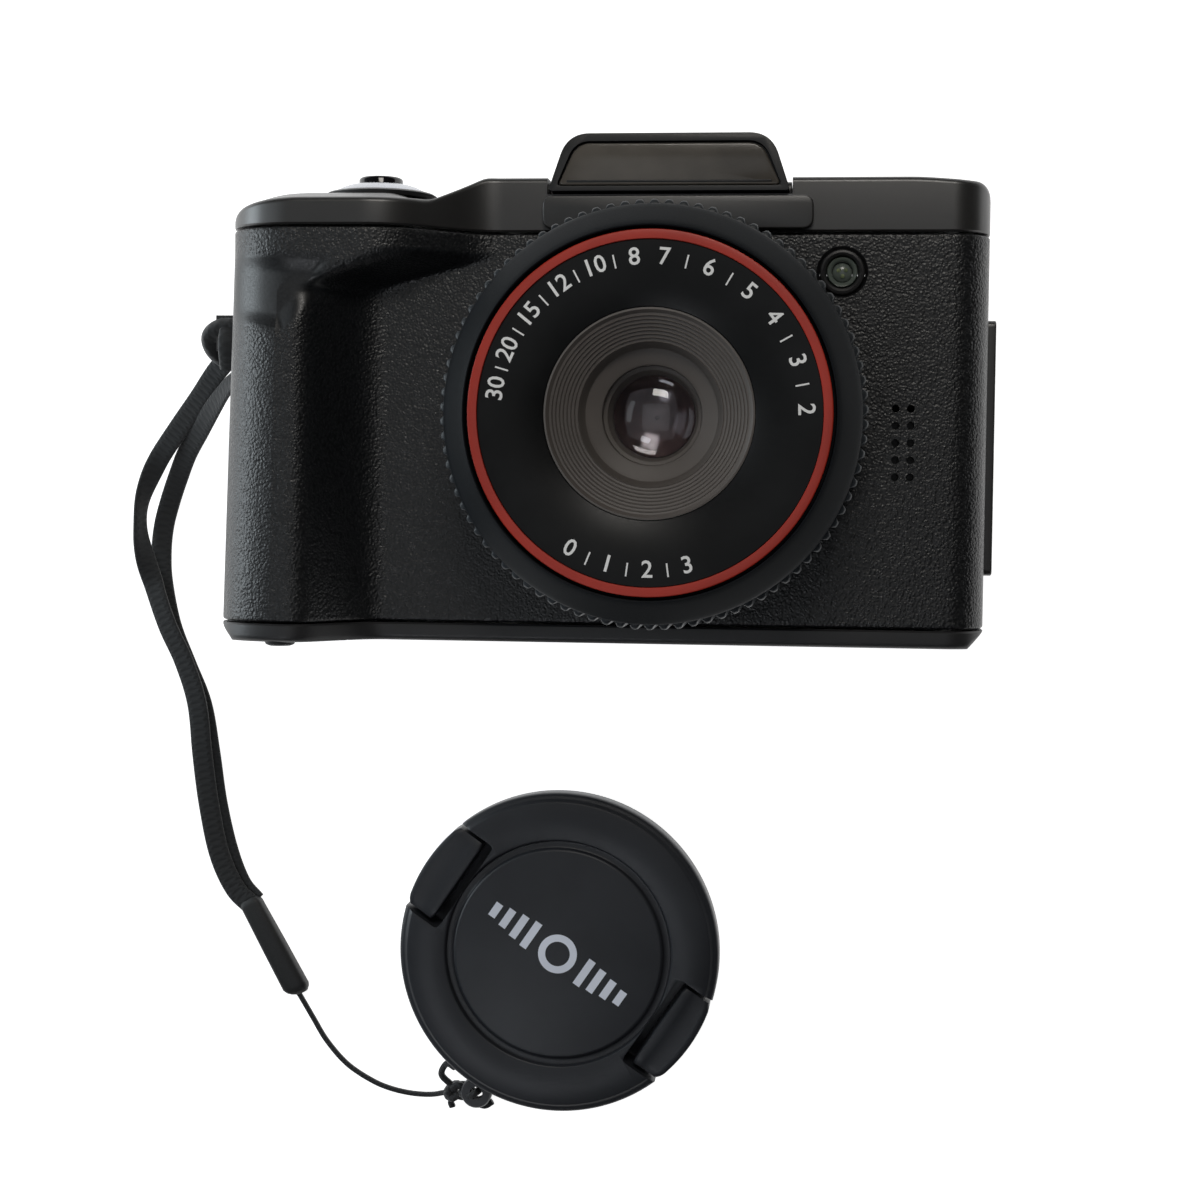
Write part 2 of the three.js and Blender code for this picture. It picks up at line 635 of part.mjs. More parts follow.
function tabOutline(inner, halfWidth, radius) {
  const shape = new THREE.Shape();
  shape.absarc(0, 0, radius, -Math.asin(halfWidth / radius), Math.asin(halfWidth / radius), false);
  shape.lineTo(inner, halfWidth);
  shape.lineTo(inner, -halfWidth);
  return shape;
}

function capBody() {
  const { radius, height, groove } = CAP;
  const angle = THREE.MathUtils.degToRad(EYELET.angle);
  const [ex, ey] = [EYELET.distance * Math.cos(angle), EYELET.distance * Math.sin(angle)];
  const outside = turnZ([
    [0, 0], [23.9, 0], [23.9, 3.2], [radius, 3.7], [radius, height - 1.2], [radius - 1, height - 0.2],
    [radius - 1.8, height], [groove + 0.45, height],
    [groove + 0.45, height - 0.7], [groove - 0.45, height - 0.7], [groove - 0.45, height], [0, height],
  ], 48);
  const eyelet = discZ(EYELET.outer, ex, ey, EYELET.z0, EYELET.z1, 16)
    .subtract(discZ(EYELET.bore, ex, ey, 0, 8, 12));
  let body = outside.add(eyelet).subtract(discZ(16.9, 0, 0, -1, 5.2, 32));
  const slot = tabOutline(TAB.inner - TAB.travel - GAP, TAB.halfWidth + GAP, radius + 2);
  for (const turn of [0, 180]) {
    body = body.subtract(alongZ(slot, TAB.bottom - GAP, height + 1, 4).rotate([0, 0, turn]));
  }
  return body;
}

function capTab() {
  const { radius, height } = CAP;
  const grip = turnZ([[0, 0], [radius - 0.1, 0], [radius - 0.1, height - 1.2], [radius - 1.1, height - 0.1],
    [0, height - 0.1]], 48);
  return alongZ(tabOutline(TAB.inner, TAB.halfWidth, radius + 2), TAB.bottom, height, 4).intersect(grip);
}

// ---- Strap: two strands of webbing, a sleeve, then a thin tether to the cap ---------------------
const STRAND_OUTER = [
  [-58.6, 10.6, 14.6], [-60.4, 7.6, 11.6], [-63.2, 4.6, 8.4], [-67, 0.6, 5], [-70.8, -4, 2.6],
  [-73.6, -9, 1.6], [-75, -15.4, 1.5], [-74.8, -21.4, 1.5],
  [-74.2, -27, 1.5], [-72.4, -34, 1.5], [-69.8, -41, 1.5],
  [-67.6, -47, 1.5], [-66.8, -53, 1.5], [-66.2, -59, 1.5], [-65.4, -65.4, 1.5], [-63.6, -71, 1.5],
  [-61, -75.2, 1.6], [-59.9, -77, 1.7],
];
const STRAND_INNER = [
  [-57.4, 6.4, 17.4], [-58.6, 3.4, 14.2], [-60.6, 0.6, 10.6], [-63.4, -2.6, 6.6], [-66.6, -6.2, 3.6],
  [-69.6, -10.6, 1.8], [-71.6, -15.6, 1.5], [-72, -21.2, 1.5],
  [-71.3, -27.4, 1.5], [-69.5, -33.8, 1.5], [-67, -40.4, 1.5],
  [-64.7, -46.6, 1.5], [-63.5, -52.6, 1.5], [-62.8, -58.6, 1.5], [-61.9, -65, 1.5], [-60.2, -70.4, 1.5],
  [-58, -74.4, 1.6], [-57, -76, 1.7],
];
const TETHER = [
  [-50.7, -91.5, 1.3], [-49.5, -94.9, 0.9], [-48, -97.6, 0.8], [-46.2, -100.3, 0.8], [-43.9, -102.9, 0.8],
  [-41.2, -105, 0.8], [-38.1, -106.3, 0.8], [-34.8, -107, 0.8], [-31.4, -107.1, 0.8], [-28.6, -106.8, 1.4],
];
const SLEEVE = { start: [-58.3, -76.9], end: [-50.9, -90.6], width: 4.2, height: 3.2 };

function cord(points, radius) {
  const path = points.map((point) => new THREE.Vector3(...point));
  return toSolid(tube(path, radius, STRAP.sides, STRAP.steps));
}

function strapSleeve() {
  const { start, end, width, height } = SLEEVE;
  const [dx, dy] = [end[0] - start[0], end[1] - start[1]];
  const length = Math.hypot(dx, dy);
  const turn = THREE.MathUtils.radToDeg(Math.atan2(dy, dx));
  return alongZ(roundedRectangle(0.6, length - 0.6, -width / 2, width / 2, 1), 0.2, 0.2 + height, 3)
    .rotate([0, 0, turn]).translate([start[0], start[1], 0]);
}

function tetherKnot() {
  const knot = new THREE.SphereGeometry(1.6, 12, 8).scale(1.15, 1, 0.95);
  return toSolid(knot.translate(-26.5, -106.4, 1.9));
}

// ---- Assembly ----------------------------------------------------------------------------------
const camera = new THREE.Group();
const lens = new THREE.Group();
const cap = new THREE.Group();
const strap = new THREE.Group();

camera.add(
  toMesh('front_shell', frontShell(), 'grain'),
  toMesh('rear_shell', rearShell(), 'satin'),
  toMesh('top_cover', topCover(), 'satin'),
  toMesh('base_plate', basePlate(), 'base'),
  toMesh('hump_fascia', humpFascia(), 'satin'),
  toMesh('tripod_nut', tripodNut(), 'brass'),
  toMesh('battery_door', batteryDoor(), 'base'),
  toMesh('battery_bay', batteryBay(), 'base'),
  toMesh('battery', batteryPack(), 'sleeve'),
  toMesh('battery_contact', batteryContact(), 'brass'),
  toMesh('flash_head', flashHead(), 'satin'),
  toMesh('flash_window', flashWindow(), 'gloss'),
  toMesh('flash_reflector', flashReflector(), 'chrome'),
  toMesh('flash_tube', rodX(0.9, 34.5, 25.4, FLASH.x - 8, FLASH.x + 8, 10), 'clear'),
  toMesh('flash_hinge_pin', hingePin(), 'steel'),
  toMesh('flash_spring', flashSpring(), 'steel'),
  toMesh('shutter_collar', shutterCollar(), 'chrome'),
  toMesh('shutter_button', shutterButton(), 'gloss'),
  toMesh('shutter_switch', shutterSwitch(), 'base'),
  toMesh('power_button', topButton(POWER), 'chrome'),
  toMesh('ok_button', okButton(), 'gloss'),
  toMesh('screen_frame', screenFrame(), 'gloss'),
  toMesh('screen_window', alongZ(screenRectangle(1.7), 0.4, 1.6, 3), 'glass'),
  toMesh('screen_module', block(-14, 46, -23, 18, 3.3, 6.3), 'base'),
  toMesh('main_board', block(-30, 50, -23.6, 20, 8.4, 9.6), 'board'),
  toMesh('led_bezel', ledBezel(), 'base'),
  toMesh('led_lamp', lensElement(1.9, 23, 3.4, 0.9, 16).translate([LED.x, LED.y, 0]), 'clear'),
  toMesh('speaker', speaker(), 'base'),
  toMesh('side_door', sideDoor(), 'satin'),
  toMesh('usb_socket', usbSocket(), 'steel'),
  toMesh('card_slot', cardSlot(), 'steel'),
  toMesh('strap_lug', strapLug(), 'base'),
);
REAR_BUTTONS.forEach((button) => camera.add(toMesh(button.name, rearButton(button), 'gloss')));
BASE_SCREWS.forEach((screw, i) => camera.add(toMesh(`base_screw_${i + 1}`, baseScrew(screw), 'steel')));
FEET.forEach((place, i) => camera.add(toMesh(`foot_${i + 1}`, foot(place), 'rubber')));

lens.position.set(LENS.x, LENS.y, 0);
lens.add(
  toMesh('lens_barrel', lensBarrel(), 'ringBlack'),
  toMesh('knurled_ring', knurledRing(), 'ringBlack'),
  toMesh('red_ring', redRing(), 'red'),
  toMesh('lens_face', lensFace(), 'gloss'),
  toMesh('baffle_cone', baffleCone(), 'grey'),
  toMesh('lens_holder', lensHolder(), 'ringBlack'),
  toMesh('front_lens', lensElement(5.8, 39.3, 1.6, 1.8), 'glass'),
  toMesh('rear_lens', lensElement(4.3, 28, 1.4, 1), 'glass'),
  toMesh('image_sensor', plate(4.8, 21.5, 22.8), 'base'),
  toMesh('sensor_board', plate(10, 20, 21.2), 'board'),
);

cap.position.set(CAP.x, CAP.y, 0);
cap.rotation.z = THREE.MathUtils.degToRad(CAP.angle);
cap.add(toMesh('cap_body', capBody(), 'capBlack'));
['cap_tab_1', 'cap_tab_2'].forEach((name, i) => {
  const tab = toMesh(name, capTab(), 'capBlack');
  tab.rotation.z = i * Math.PI;
  cap.add(tab);
});

strap.add(
  toMesh('strap_strand_outer', cord(STRAND_OUTER, STRAP.radius), 'cloth'),
  toMesh('strap_strand_inner', cord(STRAND_INNER, STRAP.radius), 'cloth'),
  toMesh('strap_sleeve', strapSleeve(), 'rubber'),
  toMesh('cap_tether', cord(TETHER, STRAP.tetherRadius), 'cloth'),
  toMesh('tether_knot', tetherKnot(), 'cloth'),
);

// The origin is under the middle of everything except the strap, on the surface it all lies on.
const model = new THREE.Group();
model.add(camera, lens, cap);
model.updateMatrixWorld(true);
const middle = new THREE.Box3().setFromObject(model, true).getCenter(new THREE.Vector3());
model.add(strap);
model.position.set(-middle.x, -middle.y, 0);

export default model;
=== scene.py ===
"""Looks of the compact digital camera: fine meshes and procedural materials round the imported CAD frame."""
import math

import bmesh
import bpy
from mathutils import Matrix, Vector


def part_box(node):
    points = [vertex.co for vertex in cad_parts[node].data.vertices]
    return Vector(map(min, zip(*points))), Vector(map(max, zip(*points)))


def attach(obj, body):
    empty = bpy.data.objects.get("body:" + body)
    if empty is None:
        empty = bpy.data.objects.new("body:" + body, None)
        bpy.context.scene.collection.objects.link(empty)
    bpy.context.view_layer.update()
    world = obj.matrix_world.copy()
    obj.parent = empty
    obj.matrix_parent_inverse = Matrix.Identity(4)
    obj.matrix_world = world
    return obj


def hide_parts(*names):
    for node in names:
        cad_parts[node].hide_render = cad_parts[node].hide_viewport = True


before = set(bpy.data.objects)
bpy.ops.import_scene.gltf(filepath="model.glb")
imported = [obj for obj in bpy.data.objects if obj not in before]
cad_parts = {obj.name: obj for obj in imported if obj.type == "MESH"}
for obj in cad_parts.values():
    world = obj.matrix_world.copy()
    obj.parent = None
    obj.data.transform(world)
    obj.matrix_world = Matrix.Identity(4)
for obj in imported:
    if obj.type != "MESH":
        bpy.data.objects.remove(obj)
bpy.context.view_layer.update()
MM = 0.001


# ---- Where things are: millimetres about the middle of the body, taken from the frame ----------
def node_box(name):
    low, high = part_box(name)
    return low / MM, high / MM


SHELL_LOW, SHELL_HIGH = node_box("front_shell")
SHELL_MARGIN = 30.35
ORIGIN = Vector(((SHELL_LOW.x + SHELL_HIGH.x) / 2, SHELL_LOW.y + SHELL_MARGIN, 0))


def local_box(name):
    low, high = node_box(name)
    return low - ORIGIN, high - ORIGIN


def local_middle(name):
    low, high = local_box(name)
    return (low + high) / 2


def to_frame(point):
    return (Vector(point) + ORIGIN) * MM


HALF_WIDTH = (SHELL_HIGH.x - SHELL_LOW.x) / 2
GRIP_FRONT = SHELL_HIGH.z
GRIP_ROUND = 8.4
GRIP_REACH = 9.8
SIDE_ROUND = 5.5
FILLET_REACH = 3.4
CUT_HEIGHT = 40
CUT_DEPTH = -36
BODY_FRONT = 27.5
BODY_TOP = local_box("top_cover")[1].y
BODY_BOTTOM = local_box("base_plate")[0].y
DECK = 29.0
SEAM_TOP = local_box("front_shell")[1].y
SEAM_BASE = local_box("front_shell")[0].y
GAP = 0.3
LENS_AXIS = local_middle("lens_face")
FLASH_X = local_middle("flash_head").x
CAP_AXIS = (local_middle("cap_tab_1") + local_middle("cap_tab_2")) / 2
CAP_ANGLE = math.radians(-34)


# ---- Outlines ----------------------------------------------------------------------------------
def smooth_step(low, high, value):
    t = min(max((value - low) / (high - low), 0.0), 1.0)
    return t * t * (3 - 2 * t)


def mix(a, b, share):
    return a + (b - a) * share


def spread(low, high, steps):
    return [mix(low, high, i / steps) for i in range(steps + 1)]


def arc(cx, cy, radius, start, end, steps):
    angles = [math.radians(mix(start, end, i / steps)) for i in range(steps + 1)]
    return [(cx + radius * math.cos(a), cy + radius * math.sin(a)) for a in angles]


def bezier(p0, p1, p2, p3, steps):
    points = []
    for i in range(steps + 1):
        t = i / steps
        weights = ((1 - t) ** 3, 3 * t * (1 - t) ** 2, 3 * t * t * (1 - t), t ** 3)
        points.append(tuple(sum(w * p[k] for w, p in zip(weights, (p0, p1, p2, p3))) for k in (0, 1)))
    return points


def rounded(corners, steps=6):
    """A closed outline of (x, y, radius) corners, each one filleted."""
    outline = []
    count = len(corners)
    for i, (x, y, radius) in enumerate(corners):
        here = Vector((x, y))
        before = Vector(corners[i - 1][:2]) - here
        after = Vector(corners[(i + 1) % count][:2]) - here
        if radius <= 0:
            outline.append((x, y))
            continue
        half = before.angle(after) / 2
        reach = min(radius / math.tan(half), before.length / 2, after.length / 2)
        start = here + before.normalized() * reach
        end = here + after.normalized() * reach
        for k in range(steps + 1):
            t = k / steps
            point = start * (1 - t) ** 2 + here * 2 * t * (1 - t) + end * t * t
            outline.append((point.x, point.y))
    return outline


def rounded_box(x0, x1, y0, y1, radius, steps=6):
    return rounded([(x0, y0, radius), (x1, y0, radius), (x1, y1, radius), (x0, y1, radius)], steps)


def circle(cx, cy, radius, steps=48):
    return arc(cx, cy, radius, 0, 360, steps)[:-1]


# ---- Meshes ------------------------------------------------------------------------------------
def new_object(name, mesh_data):
    mesh = bpy.data.meshes.new(name)
    mesh_data.to_mesh(mesh)
    mesh_data.free()
    mesh.transform(Matrix.Translation(ORIGIN * MM) @ Matrix.Scale(MM, 4))
    piece = bpy.data.objects.new(name, mesh)
    bpy.context.scene.collection.objects.link(piece)
    return piece


def loft(name, rows, closed=True, capped=True):
    """A skin over rows of points. closed joins each row's ends, capped fills the first and last row."""
    data = bmesh.new()
    lines = [[data.verts.new(p) for p in row] for row in rows]
    count = len(rows[0])
    for upper, lower in zip(lines, lines[1:]):
        for i in range(count if closed else count - 1):
            k = (i + 1) % count
            data.faces.new((upper[i], upper[k], lower[k], lower[i]))
    if capped:
        data.faces.new(lines[0])
        data.faces.new(lines[-1])
    bmesh.ops.remove_doubles(data, verts=data.verts, dist=1e-5)
    bmesh.ops.recalc_face_normals(data, faces=data.faces)
    return new_object(name, data)


def prism(name, outline, low, high, axis="z"):
    """An outline that stands from low to high along an axis: (x, y) on z, (x, z) on y, (y, z) on x."""
    place = {
        "z": lambda a, b, h: (a, b, h),
        "y": lambda a, b, h: (a, h, b),
        "x": lambda a, b, h: (h, a, b),
        "x_zy": lambda a, b, h: (h, b, a),
        "y_zx": lambda a, b, h: (b, h, a),
    }[axis]
    rows = [[place(a, b, h) for a, b in outline] for h in (low, high)]
    return loft(name, rows)


def lathe(name, profile, middle=(0, 0, 0), steps=128, axis="z", closed=True):
    """A profile of (radius, height) turned about an axis. closed joins its ends into a ring."""
    points = list(profile) + ([profile[0]] if closed else [])
    rows = []
    for i in range(steps):
        a = 2 * math.pi * i / steps
        if axis == "z":
            rows.append([(middle[0] + r * math.cos(a), middle[1] + r * math.sin(a), middle[2] + h)
                         for r, h in points])
        else:
            rows.append([(middle[0] + r * math.cos(a), middle[1] + h, middle[2] + r * math.sin(a))
                         for r, h in points])
    rows.append(rows[0])
    return loft(name, rows, closed=False, capped=False)


def combine(piece, tools, operation="DIFFERENCE"):
    """Cuts or joins with the tools, then bakes the result into the piece's mesh."""
    for tool in tools:
        step = piece.modifiers.new("combine", "BOOLEAN")
        step.operation = operation
        step.solver = "EXACT"
        step.object = tool
    bake_modifiers(piece)
    for tool in tools:
        bpy.data.meshes.remove(tool.data)
    return piece


def bake_modifiers(piece):
    graph = bpy.context.evaluated_depsgraph_get()
    graph.update()
    baked = bpy.data.meshes.new_from_object(
        piece.evaluated_get(graph), preserve_all_data_layers=True, depsgraph=graph)
    old = piece.data
    piece.modifiers.clear()
    piece.data = baked
    bpy.data.meshes.remove(old)
    baked.name = piece.name


def soften(piece, width, steps=3, angle=35, weight=None):
    """Rounds the sharp edges. weight(middle of the edge, local mm) scales the width where given."""
    if weight:
        layer = piece.data.attributes.new("bevel_weight_edge", "FLOAT", "EDGE")
        for edge in piece.data.edges:
            ends = [piece.data.vertices[v].co / MM - ORIGIN for v in edge.vertices]
            layer.data[edge.index].value = weight((ends[0] + ends[1]) / 2, (ends[1] - ends[0]))
    bevel = piece.modifiers.new("edges", "BEVEL")
    bevel.width = width * MM
    bevel.segments = steps
    bevel.limit_method = "WEIGHT" if weight else "ANGLE"
    bevel.angle_limit = math.radians(angle)
    bevel.use_clamp_overlap = True
    normals = piece.modifiers.new("normals", "WEIGHTED_NORMAL")
    normals.keep_sharp = True
    bake_modifiers(piece)
    return shade(piece, angle)


def shade(piece, angle=35):
    mesh = piece.data
    mesh.polygons.foreach_set("use_smooth", [True] * len(mesh.polygons))
    mesh.set_sharp_from_angle(angle=math.radians(angle))
    return piece


def dress(piece, look, body="root", nodes=()):
    piece.data.materials.clear()
    piece.data.materials.append(LOOKS[look])
    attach(piece, body)
    if nodes:
        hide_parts(*nodes)
    return piece


# ---- Materials ---------------------------------------------------------------------------------
def material(name):
    look = bpy.data.materials.new(name)
    look.use_nodes = True
    tree = look.node_tree
    return look, tree, tree.nodes["Principled BSDF"]


def add_node(tree, kind, links=(), **values):
    """A shader node with its input values set, and (socket name, source socket) links made."""
    node = tree.nodes.new(kind)
    for key, value in values.items():
        socket = key.replace("_", " ")
        if socket in node.inputs:
            node.inputs[socket].default_value = value
        else:
            setattr(node, key, value)
    for socket, source in links:
        tree.links.new(source, node.inputs[socket])
    return node


def coordinates(tree):
    return tree.nodes.new("ShaderNodeTexCoord").outputs["Object"]


def ramp(tree, source, stops):
    node = tree.nodes.new("ShaderNodeValToRGB")
    tree.links.new(source, node.inputs["Fac"])
    elements = node.color_ramp.elements
    while len(elements) < len(stops):
        elements.new(0.5)
    for element, (place, color) in zip(elements, stops):
        element.position = place
        element.color = (*color, 1) if len(color) == 3 else color
    return node.outputs["Color"]


def grey(value):
    return (value, value, value)


def plastic(name, color, roughness, grain_mm=0.25, depth_mm=0.01, variation=0.12, gloss=0.5):
    """Moulded plastic: a fine noise for its texture, and a broad one for its uneven colour and wear."""
    look, tree, shader = material(name)
    place = coordinates(tree)
    fine = add_node(tree, "ShaderNodeTexNoise", [("Vector", place)], Scale=1 / (grain_mm * MM), Detail=3.0)
    broad = add_node(tree, "ShaderNodeTexNoise", [("Vector", place)], Scale=90.0, Detail=4.0)
    low = tuple(c * (1 - variation) for c in color)
    high = tuple(c * (1 + variation) for c in color)
    tree.links.new(ramp(tree, broad.outputs["Fac"], [(0.35, low), (0.65, high)]), shader.inputs["Base Color"])
    rough = ramp(tree, fine.outputs["Fac"], [(0.3, grey(roughness * 0.88)), (0.7, grey(roughness * 1.1))])
    tree.links.new(rough, shader.inputs["Roughness"])
    bump = add_node(tree, "ShaderNodeBump", [("Height", fine.outputs["Fac"])], Strength=1.0,
                    Distance=depth_mm * MM)
    tree.links.new(bump.outputs["Normal"], shader.inputs["Normal"])
    shader.inputs["Specular IOR Level"].default_value = gloss
    return look


def leather_grain(name):
    """Moulded leather grain: soft pebbles about 1 mm across with fine creases, smooth on the finger rest."""
    look, tree, shader = material(name)
    place = coordinates(tree)
    warp = add_node(tree, "ShaderNodeTexNoise", [("Vector", place)], Scale=900.0, Detail=2.0)
    moved = add_node(tree, "ShaderNodeVectorMath", operation="SCALE")
    tree.links.new(warp.outputs["Color"], moved.inputs[0])
    moved.inputs["Scale"].default_value = 0.0006
    joined = add_node(tree, "ShaderNodeVectorMath", operation="ADD")
    tree.links.new(place, joined.inputs[0])
    tree.links.new(moved.outputs[0], joined.inputs[1])
    pebbles = add_node(tree, "ShaderNodeTexVoronoi", [("Vector", joined.outputs[0])], Scale=2600.0,
                       feature="SMOOTH_F1", Smoothness=0.6)
    fine = add_node(tree, "ShaderNodeTexNoise", [("Vector", place)], Scale=3800.0, Detail=3.0)
    height = add_node(tree, "ShaderNodeMath", operation="MULTIPLY_ADD")
    tree.links.new(fine.outputs["Fac"], height.inputs[0])
    height.inputs[1].default_value = 0.35
    tree.links.new(pebbles.outputs["Distance"], height.inputs[2])
    masked = add_node(tree, "ShaderNodeMath", operation="MULTIPLY")
    tree.links.new(height.outputs[0], masked.inputs[0])
    chart = add_node(tree, "ShaderNodeUVMap", uv_map="grain")
    share = add_node(tree, "ShaderNodeSeparateXYZ", [("Vector", chart.outputs["UV"])])
    tree.links.new(share.outputs["X"], masked.inputs[1])
    bump = add_node(tree, "ShaderNodeBump", [("Height", masked.outputs[0])], Strength=1.0, Distance=0.00010)
    bump.invert = True
    tree.links.new(bump.outputs["Normal"], shader.inputs["Normal"])
    crown, crease = (0.011, 0.0118, 0.013), (0.004, 0.0044, 0.005)
    color = ramp(tree, pebbles.outputs["Distance"], [(0.1, crown), (0.75, crease)])
    tree.links.new(color, shader.inputs["Base Color"])
    rough = ramp(tree, fine.outputs["Fac"], [(0.3, grey(0.30)), (0.7, grey(0.46))])
    tree.links.new(rough, shader.inputs["Roughness"])
    return look


def metal(name, color, roughness, scratch=0.15):
    look, tree, shader = material(name)
    place = coordinates(tree)
    fine = add_node(tree, "ShaderNodeTexNoise", [("Vector", place)], Scale=2500.0, Detail=4.0)
    rough = ramp(tree, fine.outputs["Fac"],
                 [(0.3, grey(roughness * (1 - scratch))), (0.7, grey(roughness * (1 + scratch)))])
    tree.links.new(rough, shader.inputs["Roughness"])
    shader.inputs["Base Color"].default_value = (*color, 1)
    shader.inputs["Metallic"].default_value = 1.0
    return look


def glass(name, color, roughness=0.0, ior=1.5):
    look, tree, shader = material(name)
    shader.inputs["Base Color"].default_value = (*color, 1)
    shader.inputs["Roughness"].default_value = roughness
    shader.inputs["IOR"].default_value = ior
    shader.inputs["Transmission Weight"].default_value = 1.0
    place = coordinates(tree)
    dust = add_node(tree, "ShaderNodeTexNoise", [("Vector", place)], Scale=1500.0, Detail=5.0)
    rough = ramp(tree, dust.outputs["Fac"], [(0.62, grey(roughness)), (0.8, grey(roughness + 0.08))])
    tree.links.new(rough, shader.inputs["Roughness"])
    return look


def webbing(name, color, along_mm, across):
    """Woven tape: diagonal ribs along and across the tape, from its own length and width coordinates."""
    look, tree, shader = material(name)
    chart = add_node(tree, "ShaderNodeUVMap", uv_map="tape")
    split = add_node(tree, "ShaderNodeSeparateXYZ", [("Vector", chart.outputs["UV"])])
    threads = []
    for slant in (1, -1):
        turn = add_node(tree, "ShaderNodeMath", operation="MULTIPLY_ADD")
        tree.links.new(split.outputs["X"], turn.inputs[0])
        turn.inputs[1].default_value = slant * across * math.pi
        along = add_node(tree, "ShaderNodeMath", operation="MULTIPLY")
        tree.links.new(split.outputs["Y"], along.inputs[0])
        along.inputs[1].default_value = 2 * math.pi / along_mm
        tree.links.new(along.outputs[0], turn.inputs[2])
        wave = add_node(tree, "ShaderNodeMath", operation="SINE")
        tree.links.new(turn.outputs[0], wave.inputs[0])
        threads.append(wave.outputs[0])
    weave = add_node(tree, "ShaderNodeMath", operation="MAXIMUM")
    tree.links.new(threads[0], weave.inputs[0])
    tree.links.new(threads[1], weave.inputs[1])
    fuzz = add_node(tree, "ShaderNodeTexNoise", [("Vector", coordinates(tree))], Scale=5000.0, Detail=4.0)
    height = add_node(tree, "ShaderNodeMath", operation="MULTIPLY_ADD")
    tree.links.new(fuzz.outputs["Fac"], height.inputs[0])
    height.inputs[1].default_value = 0.8
    tree.links.new(weave.outputs[0], height.inputs[2])
    bump = add_node(tree, "ShaderNodeBump", [("Height", height.outputs[0])], Strength=1.0, Distance=0.00003)
    tree.links.new(bump.outputs["Normal"], shader.inputs["Normal"])
    dark = tuple(c * 0.8 for c in color)
    tree.links.new(ramp(tree, weave.outputs[0], [(0.0, dark), (0.9, color)]), shader.inputs["Base Color"])
    shader.inputs["Roughness"].default_value = 0.75
    shader.inputs["Sheen Weight"].default_value = 0.25
    shader.inputs["Sheen Roughness"].default_value = 0.4
    return look


def phosphor(name):
    """The lamp's yellow-green chip seen in its clear dome."""
    look, tree, shader = material(name)
    place = coordinates(tree)
    speckle = add_node(tree, "ShaderNodeTexVoronoi", [("Vector", place)], Scale=1800.0)
    color = ramp(tree, speckle.outputs["Distance"], [(0.1, (0.25, 0.3, 0.1)), (0.8, (0.09, 0.12, 0.06))])
    tree.links.new(color, shader.inputs["Base Color"])
    shader.inputs["Roughness"].default_value = 0.5
    return look


LOOKS = {
    "grain": leather_grain("leather_grain"),
    "cover": plastic("satin_cover", (0.019, 0.0185, 0.018), 0.36, 0.16, 0.006, gloss=0.75),
    "case": plastic("flash_case_black", (0.010, 0.010, 0.010), 0.34, 0.16, 0.005),
    "base": plastic("base_plastic", (0.017, 0.017, 0.018), 0.45, 0.2, 0.008),
    "window": plastic("flash_window_plastic", (0.092, 0.082, 0.070), 0.16, 0.3, 0.001, 0.2),
    "gloss": plastic("gloss_black", (0.006, 0.006, 0.007), 0.10, 0.4, 0.0006, 0.3),
    "face": plastic("lens_face_black", (0.0075, 0.0078, 0.0082), 0.34, 0.3, 0.0008, 0.3, gloss=0.17),
    "ring": plastic("ring_black", (0.0068, 0.0082, 0.0098), 0.5, 0.15, 0.005, gloss=0.05),
    # ribs: the knurled ring's own black plastic, coloured about three times lighter than the collar's
    # ring_black as a painted highlight on the teeth
    "ribs": plastic("rib_black_painted_highlight", (0.022, 0.026, 0.030), 0.42, 0.15, 0.004, gloss=0.3),
    "red": plastic("red_paint", (0.40, 0.026, 0.012), 0.4, 0.2, 0.003, 0.1),
    "cone": plastic("baffle_grey", (0.098, 0.086, 0.078), 0.55, 0.12, 0.006, 0.08),
    "cap": plastic("cap_black", (0.0195, 0.0212, 0.0255), 0.42, 0.18, 0.007, gloss=0.34),
    "mark": plastic("printed_grey", (0.74, 0.78, 0.88), 0.55, 0.2, 0.003, 0.06),
    "numerals": plastic("printed_white", (0.85, 0.85, 0.84), 0.5, 0.2, 0.002, 0.06),
    "rubber": plastic("soft_black", (0.007, 0.0075, 0.008), 0.6, 0.25, 0.012),
    "sleeve": plastic("battery_wrap", (0.35, 0.37, 0.4), 0.4),
    "board": plastic("solder_mask", (0.015, 0.09, 0.035), 0.35),
    "silver": metal("satin_chrome", (0.40, 0.41, 0.44), 0.28),
    "steel": metal("steel", (0.5, 0.5, 0.5), 0.35),
    "brass": metal("brass", (0.72, 0.5, 0.22), 0.3),
    "glass": glass("coated_glass", (0.93, 0.90, 0.95)),
    "lamp": plastic("lamp_resin", (0.105, 0.125, 0.110), 0.22, 0.5, 0.0008, 0.35),
    "clear": glass("clear_resin", (0.88, 0.93, 0.84), 0.02, 1.45),
    "coat": plastic("pink_coating", (0.085, 0.060, 0.054), 0.16, 0.3, 0.0004, 0.3),
    "chip": phosphor("lamp_chip"),
    "webbing": webbing("strap_webbing", (0.014, 0.0155, 0.017), 1.1, 2),
    "thread": webbing("tether_thread", (0.015, 0.016, 0.018), 0.7, 2),
}


# ---- Camera, light and floor -------------------------------------------------------------------
def make_camera():
    """Above the lens side, a little right of the lens, tilted towards the middle of what lies there."""
    data = bpy.data.cameras.new("view")
    data.sensor_width = 36
    data.lens = VIEW["focal"]
    data.clip_start = 0.01
    camera = bpy.data.objects.new("view", data)
    bpy.context.scene.collection.objects.link(camera)
    eye = to_frame(VIEW["eye"])
    aim = to_frame(VIEW["aim"])
    down = (aim - eye).normalized()
    right = Vector((math.cos(VIEW["roll"]), math.sin(VIEW["roll"]), 0))
    right = (right - down * right.dot(down)).normalized()
    up = right.cross(down)
    camera.matrix_world = Matrix.Translation(eye) @ Matrix((right, up, -down)).transposed().to_4x4()
    bpy.context.scene.camera = camera


VIEW = {"eye": (30.0, -12.3, 330.0), "aim": (-3.55, -28.3, 0.0), "roll": math.radians(0.9), "focal": 64.1}


